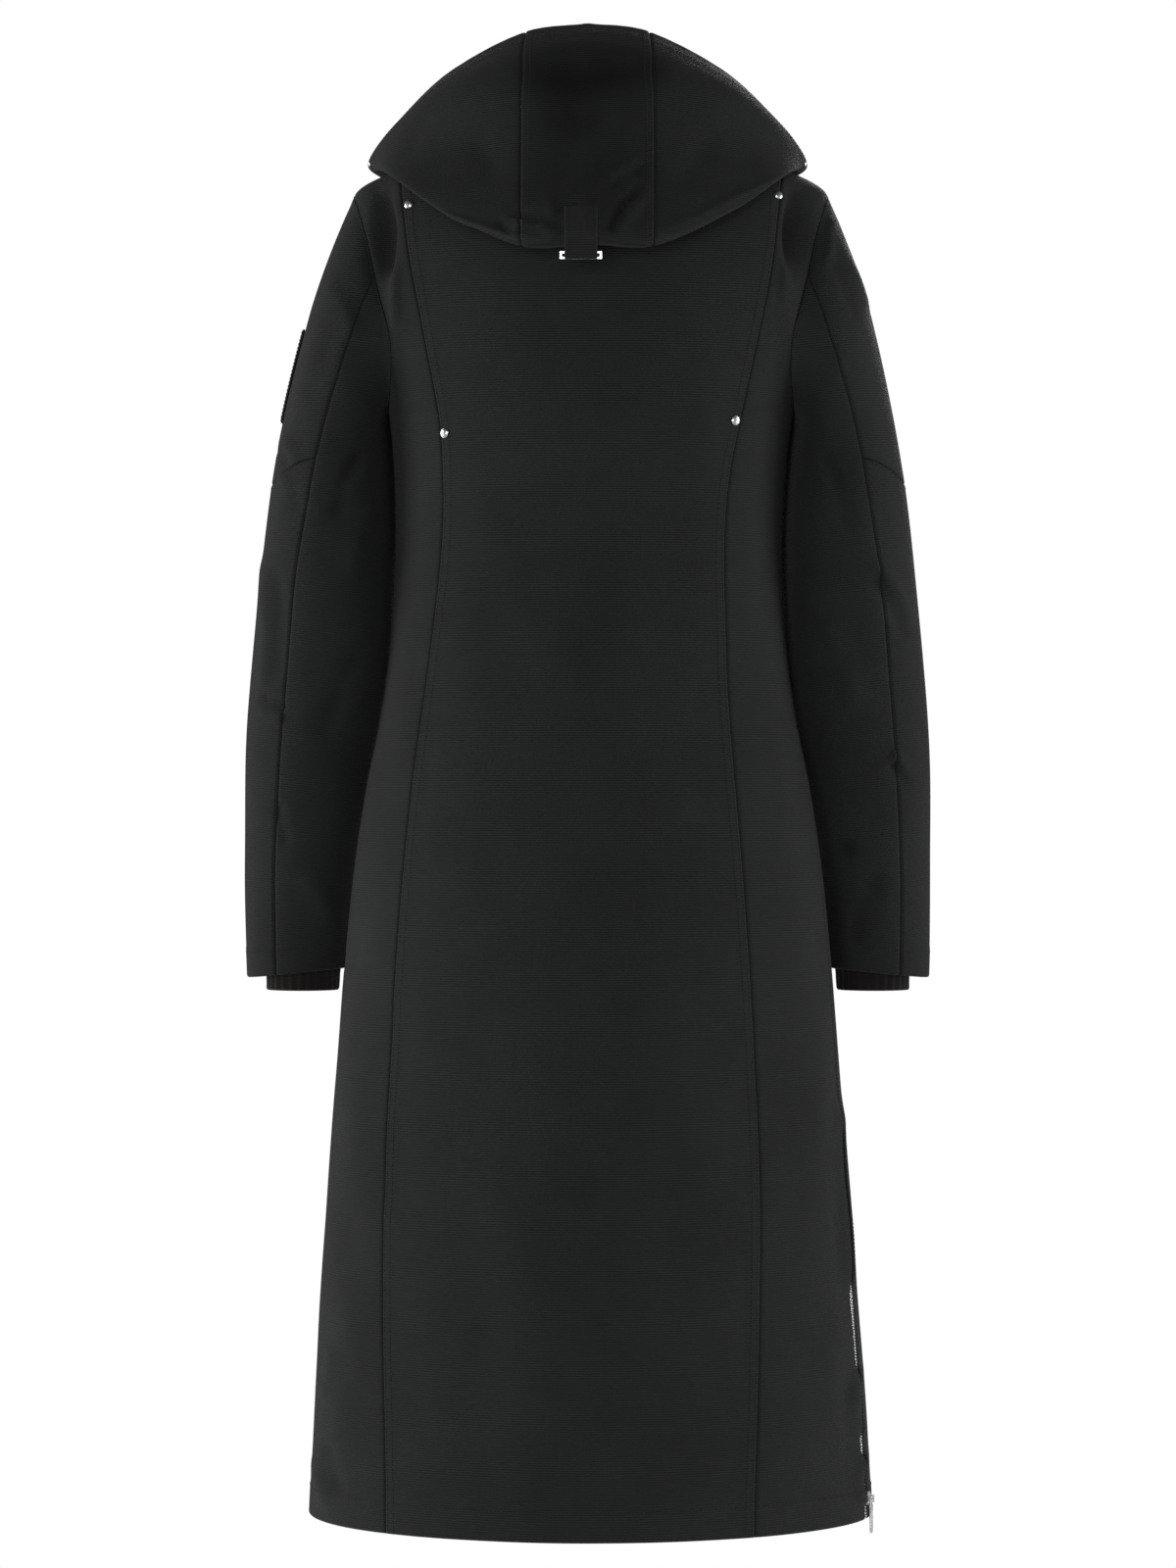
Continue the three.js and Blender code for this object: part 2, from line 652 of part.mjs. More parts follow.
function hoodNeck(side, turn) {
  const angle = 90 - turn;
  const part = Math.max(-angle, 0) / 90;
  const height = angle > 0 ? napeRise * Math.sin(radians(angle)) ** 2 : -neckDrop * part ** neckDropPower;
  const p = torsoPoint(side, angle, 0, height);
  return p.add(new THREE.Vector3(0, 0, 0.6));
}

function hoodPoint(side, turn, v) {
  const size = Math.abs(turn);
  const half = turn < 0 ? -side : side;
  const profile = ['rim', 'high', 'low', 'foot', 'back', 'seat'].map((name) => {
    const table = hood.map((row) => ({ turn: row.turn, x: row[name][0], y: row[name][1], z: row[name][2] }));
    const value = (column) => along(table, 'turn', size, column);
    const lean = name === 'seat' ? 0 : hoodLean * smoothStep(178, 150, size);
    return new THREE.Vector3(half * value('x') + lean, value('y'), value('z'));
  });
  profile.push(hoodNeck(half, size));
  return new THREE.CatmullRomCurve3(profile).getPoint(v);
}

function hoodPlace(side, turn, v) {
  const level = Math.min(Math.max(v, 0.01), 0.99);
  const n = normalOf((a, b) => hoodPoint(side, a, b), turn, level, 0.5, 0.008);
  return { p: hoodPoint(side, turn, v), n: n.multiplyScalar(side) };
}

const hoodLevels = [0, 0.08, 0.17, 0.26, 0.34, 0.42, 0.48, 0.53, 0.58, 0.66, 0.75, 0.84, 0.92, 1];

function hoodPanels() {
  const centreTurns = spread(-hoodSeamTurn, hoodSeamTurn, 6);
  const centre = hoodLevels.map((v) => centreTurns.map((turn) => hoodPlace(1, turn, v)));
  wallMesh('hood_centre', drawnIn(centre, ['left', 'right']), cloth);
  for (const [side, word] of [[1, 'left'], [-1, 'right']]) {
    const turns = [30, 42, 54, 66, 76, 86, 94, 104, 118, 134, 150, besideThroatTurn, throatTurn];
    const grid = hoodLevels.map((v) => turns.map((turn) => hoodPlace(side, turn, v)));
    wallMesh(`hood_side_${word}`, drawnIn(grid, ['left']), cloth);
  }
}

// Zip tapes lie behind the cloth edges

function tapeMesh(name, rows, placeAt) {
  const grid = rows.map((row) => [-tapeHalf, -zipHalfSpace, zipHalfSpace, tapeHalf].map((offset) => {
    const place = placeAt(row, offset);
    return { p: place.p.addScaledVector(place.n, -(wall + seamGap + tapeClear)), n: place.n };
  }));
  wallMesh(name, grid, tapeCloth, tapeWall);
}

function zipTapes() {
  const low = bodyRows().filter((row) => row.z <= sideZipTop);
  for (const [side, word] of [[1, 'left'], [-1, 'right']]) {
    tapeMesh(`side_zip_tape_${word}`, low, (row, offset) => {
      return bodyPlace(side, angleOfY(sideY(side, row.z) + offset, row.z), row);
    });
  }
  tapeMesh('front_zip_tape', bodyRows(), (row, offset) => {
    const x = centreX(1, row.z) + offset;
    const height = row.z - neckDrop * smoothStep(neckDropFrom, 0, row.z);
    return bodyPlace(1, -angleOfX(x, row.z), row, height);
  });
  const throat = hoodLevels.filter((v) => v > 0.02 && v < 0.9);
  tapeMesh('hood_zip_tape', throat.map((v) => ({ v })), throatPlace);
}

// The hood's two throat edges are flat beside the zip, out to their next column
function throatPlace(row, offset) {
  const edge = hoodPlace(1, throatTurn, row.v);
  const next = hoodPlace(1, besideThroatTurn, row.v);
  const part = (Math.abs(offset) - edge.p.x) / (next.p.x - edge.p.x);
  const p = edge.p.lerp(next.p, part);
  const n = edge.n.lerp(next.n, Math.max(part, 0)).normalize();
  p.x = offset;
  n.x *= Math.sign(offset);
  return { p, n };
}

// Small metal trim

function setOn(mesh, place, lift) {
  mesh.quaternion.setFromUnitVectors(new THREE.Vector3(0, 1, 0), place.n);
  mesh.position.copy(place.p).addScaledVector(place.n, lift);
  parka.add(mesh);
}

function domedStud(name, radius, height, place) {
  const points = studProfile.map((point) => new THREE.Vector2(point.out * radius, point.up * height));
  const mesh = new THREE.Mesh(new THREE.LatheGeometry(points, studSides), silver);
  mesh.name = name;
  setOn(mesh, place, studLift);
}

function studs() {
  for (const rivet of rivets) {
    const side = Math.sign(rivet.x);
    const row = { z: rivet.z, turn: null };
    const place = bodyPlace(side, angleOfX(Math.abs(rivet.x), rivet.z), row);
    domedStud(rivet.name, rivetRadius, rivetHeight, place);
  }
  domedStud('hood_tip_stud_left', tipStudRadius, tipStudHeight, hoodPlace(1, tipStudTurn, tipStudDown));
  domedStud('hood_tip_stud_right', tipStudRadius, tipStudHeight, hoodPlace(-1, tipStudTurn, tipStudDown));
}

// The tab lies on the hood's centre panel and ends over a metal double bar

// The place on the hood's outer side at a height, found by halving between rim and foot
const halvings = 24;

function hoodAtHeight(x, z) {
  let high = 0.1;
  let low = 0.5;
  let turn = 0;
  for (let step = 0; step < halvings; step += 1) {
    const level = (high + low) / 2;
    turn = (x / hoodPoint(1, hoodSeamTurn, level).x) * hoodSeamTurn;
    if (hoodPoint(1, turn, level).z > z) {
      high = level;
    } else {
      low = level;
    }
  }
  return hoodPlace(1, turn, high);
}

function tabPlace(offset, z) {
  const place = hoodAtHeight(tab.x + offset, Math.max(z, tab.free));
  place.n.lerp(new THREE.Vector3(0, 1, 0), smoothStep(tab.top, tab.free, z)).normalize();
  place.p.addScaledVector(place.n, tab.lift + tab.wall);
  place.p.z = z;
  if (z < tab.free && offset !== 0) {
    place.p.y = mix(place.p.y, tabPlace(0, z).p.y, smoothStep(tab.free, tab.flat, z));
  }
  return place;
}

function hoodTab() {
  const heights = [...spread(tab.top, tab.free, 3), tab.flat, tab.foot];
  const grid = heights.map((z) => spread(-tab.half, tab.half, 3).map((offset) => tabPlace(offset, z)));
  wallMesh('hood_tab', grid, cloth, tab.wall);

  const outline = new THREE.Shape();
  const hole = new THREE.Path();
  const corners = (path, half, high) => {
    path.moveTo(-half, -high);
    path.lineTo(half, -high);
    path.lineTo(half, high);
    path.lineTo(-half, high);
    path.closePath();
  };
  corners(outline, tabBar.half, tabBar.high / 2);
  corners(hole, tabBar.half - tabBar.wire, tabBar.high / 2 - tabBar.wire);
  outline.holes.push(hole);
  const geometry = new THREE.ExtrudeGeometry(outline, { depth: tabBar.wire, bevelEnabled: false });
  const bar = new THREE.Mesh(geometry.rotateX(-Math.PI / 2), silver);
  bar.name = 'hood_tab_bar';
  const behind = tabPlace(0, tabBar.z);
  setOn(bar, behind, -(tab.wall + tabBar.wire + seamGap));
}

function sleevePatch() {
  const grid = spread(patch.from, patch.to, 4).map((place) => {
    return spread(patch.turnBack, patch.turnFront, 4).map((turn) => {
      const spot = sleevePlace(1, turn, place);
      return { p: spot.p.addScaledVector(spot.n, patch.wall + patch.lift), n: spot.n };
    });
  });
  wallMesh('sleeve_patch_left', grid, patchCloth, patch.wall);
}

// Zip sliders and their pull tabs

function asSolid(geometry) {
  const plain = geometry.index ? geometry.toNonIndexed() : geometry;
  const position = plain.getAttribute('position');
  const seen = new Map();
  const points = [];
  const index = [];
  for (let i = 0; i < position.count; i += 1) {
    const point = [position.getX(i), position.getY(i), position.getZ(i)];
    const key = point.map((value) => value.toFixed(4)).join(' ');
    if (!seen.has(key)) {
      seen.set(key, seen.size);
      points.push(...point);
    }
    index.push(seen.get(key));
  }
  const mesh = new wasm.Mesh({
    numProp: 3,
    vertProperties: Float32Array.from(points),
    triVerts: Uint32Array.from(index),
  });
  return new wasm.Manifold(mesh);
}

function fromSolid(solid) {
  const made = solid.getMesh();
  const geometry = new THREE.BufferGeometry();
  geometry.setAttribute('position', new THREE.Float32BufferAttribute(made.vertProperties, 3));
  geometry.setIndex(Array.from(made.triVerts));
  geometry.computeVertexNormals();
  return geometry;
}

function boxSolid(wide, deep, high, x, y, z) {
  return asSolid(new THREE.BoxGeometry(wide, deep, high).translate(x, y, z));
}

function sliderGeometry() {
  const face = slider.lift + slider.thick;
  const bridgeHigh = 2 * (bail.roomUp + bail.leg);
  const plate = boxSolid(slider.wide, slider.thick, slider.high, 0, slider.lift + slider.thick / 2, 0);
  const stemDeep = slider.lift - slider.stemFoot + 0.5;
  const stem = boxSolid(slider.stemWide, stemDeep, slider.stemHigh, 0, slider.stemFoot + stemDeep / 2, 0);
  const archDeep = bail.roomOut + bail.bar + 0.4;
  const arch = boxSolid(bail.wide, archDeep, bridgeHigh, 0, face - 0.4 + archDeep / 2, 0);
  const room = boxSolid(bail.wide + 2, bail.roomOut, 2 * bail.roomUp, 0, face + bail.roomOut / 2, 0);
  return fromSolid(plate.add(stem).add(arch.subtract(room)));
}

// A pull tab hangs from its own bar, whose middle is the hinge line
function pullGeometry() {
  const topHalf = pull.holeHalf + pull.arm;
  const outline = new THREE.Shape();
  outline.moveTo(-topHalf, pull.bar / 2);
  outline.lineTo(-topHalf, -pull.holeLow - pull.shoulder);
  outline.lineTo(-pull.waistHalf, -pull.holeLow - pull.waist);
  outline.lineTo(-pull.endHalf, -pull.long + pull.corner);
  outline.lineTo(-pull.endHalf + pull.cornerIn, -pull.long);
  outline.lineTo(pull.endHalf - pull.cornerIn, -pull.long);
  outline.lineTo(pull.endHalf, -pull.long + pull.corner);
  outline.lineTo(pull.waistHalf, -pull.holeLow - pull.waist);
  outline.lineTo(topHalf, -pull.holeLow - pull.shoulder);
  outline.lineTo(topHalf, pull.bar / 2);
  outline.closePath();
  const hole = new THREE.Path();
  hole.moveTo(-pull.holeHalf, -pull.bar / 2);
  hole.lineTo(pull.holeHalf, -pull.bar / 2);
  hole.lineTo(pull.holeHalf, -pull.holeLow);
  hole.lineTo(-pull.holeHalf, -pull.holeLow);
  hole.closePath();
  outline.holes.push(hole);
  const geometry = new THREE.ExtrudeGeometry(outline, { depth: pull.thick, bevelEnabled: false });
  return geometry.translate(0, 0, -pull.thick / 2).rotateX(Math.PI / 2);
}

function zipHardware(word, place) {
  const group = new THREE.Group();
  group.position.copy(place.p);
  const level = place.n.clone().setZ(0).normalize();
  group.rotation.z = Math.atan2(level.y, level.x) - Math.PI / 2;
  const body = new THREE.Mesh(sliderGeometry(), silver);
  body.name = `zip_slider_${word}`;
  const tabMesh = new THREE.Mesh(pullGeometry(), silver);
  tabMesh.name = `zip_pull_${word}`;
  tabMesh.position.y = slider.lift + slider.thick + bail.roomOut / 2;
  group.add(body, tabMesh);
  parka.add(group);
}

function zips() {
  for (const [side, word] of [[1, 'left'], [-1, 'right']]) {
    const row = { z: sideSliderZ, turn: null };
    zipHardware(word, bodyPlace(side, angleOfY(sideY(side, sideSliderZ), sideSliderZ), row));
  }
  const levels = spread(0, 0.5, 100).map((v) => hoodPlace(1, throatTurn, v));
  const throat = levels.find((place) => place.p.z <= frontSliderZ);
  throat.p.x = 0;
  throat.n.setX(0).normalize();
  zipHardware('front', throat);
}

backCentre();
backSide(1, 'back_side_left');
backSide(-1, 'back_side_right');
front(1, 'front_left');
front(-1, 'front_right');
sleeves(1, 'left');
sleeves(-1, 'right');
ribCuff(1, 'left');
ribCuff(-1, 'right');
hoodPanels();
zipTapes();
studs();
hoodTab();
sleevePatch();
zips();

export default parka;
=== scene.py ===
# The looks of a long black hooded parka, filled out as if worn, with its hood down on the back.
# Sizes in the tables and functions are millimetres, and meshes are made in metres.
# The front faces -Y, the back +Y, and +X is the wearer's left.

import math

import bpy
import numpy as np
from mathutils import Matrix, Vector


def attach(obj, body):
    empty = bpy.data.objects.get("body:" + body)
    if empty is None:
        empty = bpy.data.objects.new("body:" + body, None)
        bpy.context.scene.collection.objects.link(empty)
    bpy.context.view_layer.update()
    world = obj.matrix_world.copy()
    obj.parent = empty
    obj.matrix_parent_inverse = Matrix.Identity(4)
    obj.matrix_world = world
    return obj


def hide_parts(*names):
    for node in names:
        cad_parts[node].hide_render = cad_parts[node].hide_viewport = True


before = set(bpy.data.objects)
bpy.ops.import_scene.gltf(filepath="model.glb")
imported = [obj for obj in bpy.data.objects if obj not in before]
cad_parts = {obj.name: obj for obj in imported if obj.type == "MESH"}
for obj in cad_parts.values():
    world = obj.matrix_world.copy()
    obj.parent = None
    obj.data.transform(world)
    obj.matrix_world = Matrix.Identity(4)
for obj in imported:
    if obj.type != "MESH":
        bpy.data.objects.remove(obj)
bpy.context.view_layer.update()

# Dimensions that the cloth shares with its solids: walls, then how the sections and edges run
MM = 0.001
WALL = 2.6
SEAM_GAP = 0.3
TAPE_WALL = 1.0
TAPE_BELOW = 0.4
SLEEVE_POWER = 2.2
SLEEVE_LEAN = 2.6
NECK_DROP = 65.0
NECK_DROP_FROM = -160.0
NECK_DROP_POWER = 1.6
NAPE_RISE = 8.0
NAPE_RISE_FROM = -60.0
ZIP_HALF_SPACE = 3.0
ZIP_OPENS_OVER = 8.0
TAPE_HALF = 12.0
SIDE_ZIP_TOP = -812.0
HEM = -1126.0
ARMPIT = -235.0
SHOULDER_TIP = -53.0
SEAM_TOP = -40.0
SEAM_END = -26.0
SIDE_TIP = -27.0
SIDE_ANGLE_LEFT = 0.5
ELBOW_ALONG = 0.36
ELBOW_SLOPE = 0.022
HEAD_BLEND = 0.16
HOOD_LEAN = 2.8
HOOD_SEAM_TURN = 30.0
THROAT_TURN = 178.0
HOOD_LEANS_TO = 150.0
THROAT_BESIDE_TURN = 166.0
THROAT_TAPE = (0.08, 0.84)
SLEEVE_SEAM_TURN = 58.0
ROW_STEP = 4.0

# The camera stands where the photo was taken from, level with the coat's middle
CAMERA_PLACE = (2.4, 3800.0, -532.0)
CAMERA_LENS = 106.9
FLOOR_Z = -1400.0
FLOOR_REACH = 1350.0
FLOOR_SIDES = 96


def table(columns, rows):
    """A table with named columns, in the rising order of its first column."""
    ordered = sorted(rows)
    return {name: np.array([row[i] for row in ordered], float) for i, name in enumerate(columns.split())}


def named(columns, rows):
    """The rows of a table, each as a dictionary with the names of its columns."""
    return [dict(zip(columns.split(), row)) for row in rows]


# Horizontal sections of the body: half width, depth of its back and front half, and how square they are
TORSO = table("z half back front power", [
    (-1126, 230, 161, 158, 1.95),
    (-937, 218.5, 154, 150, 2.0),
    (-769, 205.5, 145, 143, 2.05),
    (-626, 193.5, 138, 137, 2.1),
    (-542, 182, 131, 132, 2.15),
    (-466, 167.5, 123, 127, 2.2),
    (-380, 158.5, 117, 124, 2.3),
    (-300, 158.5, 119, 128, 2.35),
    (-235, 164.5, 125, 133, 2.4),
    (-180, 178, 124, 130, 2.4),
    (-141, 190, 120, 122, 2.4),
    (-94, 193, 112, 110, 2.4),
    (-53, 193, 92, 86, 2.4),
    (-40, 176, 84, 80, 2.4),
    (-26, 140, 75, 73, 2.4),
    (0, 80, 62, 62, 2.3),
])
HANG = table("z shift lean", [
    (-1126, 17, 0),
    (-866, 13.5, 2),
    (-529, 11.4, 2.4),
    (-370, 5.6, 2),
    (-284, 2.7, 1),
    (-235, 0.5, 0),
    (0, 0, 0),
])
BACK_SEAM = table("z half", [
    (-1126, 146),
    (-866, 150),
    (-632, 138),
    (-425, 118.5),
    (-330, 113),
    (-256, 118),
    (-168, 135),
    (-105, 146.8),
    (-40, 154),
])
SIDE_SEAM = table("z left right", [
    (-1126, -38, 37),
    (-812, -30, 35),
    (-600, -20, 25),
    (-400, -8, 11),
    (-235, 0, 0),
    (0, 0, 0),
])
ARMHOLE = table("turn z angle", [
    (0, -53, 0),
    (20, -64, 14.5),
    (40, -89, 21.5),
    (58, -116, 26),
    (80, -145, 29.2),
    (100, -170, 28.6),
    (120, -193, 25),
    (140, -212, 18.5),
    (160, -227, 10),
    (180, -235, 0),
])
SLEEVE = table("along out_x out_z in_x in_z y depth", [
    (0, 194, -53, 166, -235, 0, 68),
    (0.08, 214, -98, 165.5, -241, -2, 74),
    (0.17, 231, -158, 164.3, -247, -4, 76),
    (0.27, 247, -225, 163.4, -255, -7, 74),
    (0.36, 259, -289, 161.6, -272, -11, 71),
    (0.45, 267, -348, 158.9, -330, -18, 69),
    (0.6, 277.5, -445, 162.1, -430, -36, 65),
    (0.71, 282.5, -515, 172.5, -503, -50, 61),
    (0.84, 284.5, -600, 187, -591, -68, 57),
    (0.92, 284.5, -650, 191, -642, -79, 52),
    (1, 284, -693, 192, -684, -88, 47),
])
SLEEVE_SEAM = table("along turn", [
    (0, 58),
    (0.06, 72),
    (0.13, 86),
    (0.24, 84),
    (0.36, 78),
    (0.5, 68),
    (1, 67),
])
FOLDS = named("x z reach_x reach_z depth", [
    (173, -84, 9, 34, -7),
    (160, -205, 9, 95, 5),
    (146, -330, 12, 70, -4),
    (60, -420, 34, 150, -3),
])

# The hood by its turn from the middle of the back (0) to the throat (180)
HOOD = {
    "rim": table("turn x y z", [
        (0, 0, 46, 82), (30, 50, 45, 75), (60, 110, 36, 45), (80, 153, 20, 7), (96, 173, 2, -22),
        (115, 161, -44, -16), (135, 126, -82, -8), (156, 70, -108, 0), (178, 3.6, -118, 6),
    ]),
    "high": table("turn x y z", [
        (0, 0, 96, 50), (30, 53, 92, 44), (60, 117, 70, 22), (80, 160, 40, -5), (96, 178, 6, -25),
        (115, 166, -46, -22), (135, 131, -86, -20), (156, 73, -112, -14), (178, 3.6, -121, -10),
    ]),
    "low": table("turn x y z", [
        (0, 0, 134, -30), (30, 53, 126, -30), (60, 119, 92, -24), (80, 162, 56, -25), (96, 178, 10, -30),
        (115, 166, -46, -30), (135, 131, -87, -34), (156, 74, -113, -32), (178, 3.6, -121, -28),
    ]),
    "foot": table("turn x y z", [
        (0, 0, 184, -106), (30, 52, 174, -110), (60, 116, 132, -80), (80, 158, 78, -46), (96, 171, 12, -34),
        (115, 159, -44, -36), (135, 122, -84, -46), (156, 68, -110, -50), (178, 3.6, -118, -45),
    ]),
    "back": table("turn x y z", [
        (0, 0, 146, -106), (30, 50, 138, -102), (60, 110, 106, -70), (80, 146, 62, -38), (96, 150, 8, -25),
        (115, 140, -38, -28), (135, 106, -76, -44), (156, 58, -102, -56), (178, 3.6, -111, -56),
    ]),
    "seat": table("turn x y z", [
        (0, 0, 96, -24), (30, 48, 92, -19), (60, 89, 68, -11), (80, 117, 37, -9), (96, 116, -4, -10),
        (115, 106, -30, -14), (135, 80, -64, -29), (156, 45, -90, -50), (178, 3.6, -104, -62),
    ]),
}

# Metal: where the rivets sit, their sizes and those of the studs, and how far edges are rounded
RIVETS = [("rivet_top_left", 146, -68), ("rivet_top_right", -150, -60),
          ("rivet_mid_left", 116, -253), ("rivet_mid_right", -114.5, -243)]
RIVET = {"radius": 3.75, "height": 1.6, "lift": 0.5}
LATHE_SIDES = 48
TIP_STUD = {"radius": 2.4, "height": 1.2, "turn": 92, "down": 0.33, "lift": 0.3}
ROUNDED = {
    "zip_slider_front": 0.25, "zip_slider_left": 0.25, "zip_slider_right": 0.25,
    "zip_pull_front": 0.35, "zip_pull_left": 0.35, "zip_pull_right": 0.35, "hood_tab_bar": 0.35,
}
WELD_REACH = 0.01
TAB = {"x": 5.5, "half": 14, "top": -81, "free": -104, "foot": -124.5, "flat_over": 12,
       "wall": 1.6, "lift": 0.9}
PATCH = {"from": 0.175, "to": 0.288, "turn_front": -50, "turn_back": 7, "wall": 1.6, "lift": 0.6}
# The sleeve's inner front tucks in before the body's side
TUCK = {"turn": -140, "reach": 30, "depth": 9.5, "start": 0.02, "full": 0.12, "fade": 0.5, "end": 0.62,
        "apart": 0.9}
CUFF = {"from": 0.935, "narrow": 0.962, "reach": 15, "radius": 30, "ribs": 26, "rib": 0.9, "wall": 2.4,
        "clear": 1.1, "steps": 8, "rows": 28, "wave": 0.35}

# The strip inside an armhole: its points round, the armhole's middle, its place on the sleeve, its width
# under the body, and how deep its edges and its middle lie
STRIP = {"points": 160, "middle": (172, 0, -145), "on_sleeve": 0.022, "under_body": 9.0,
         "edge_deep": 4.8, "deep": 4.0}

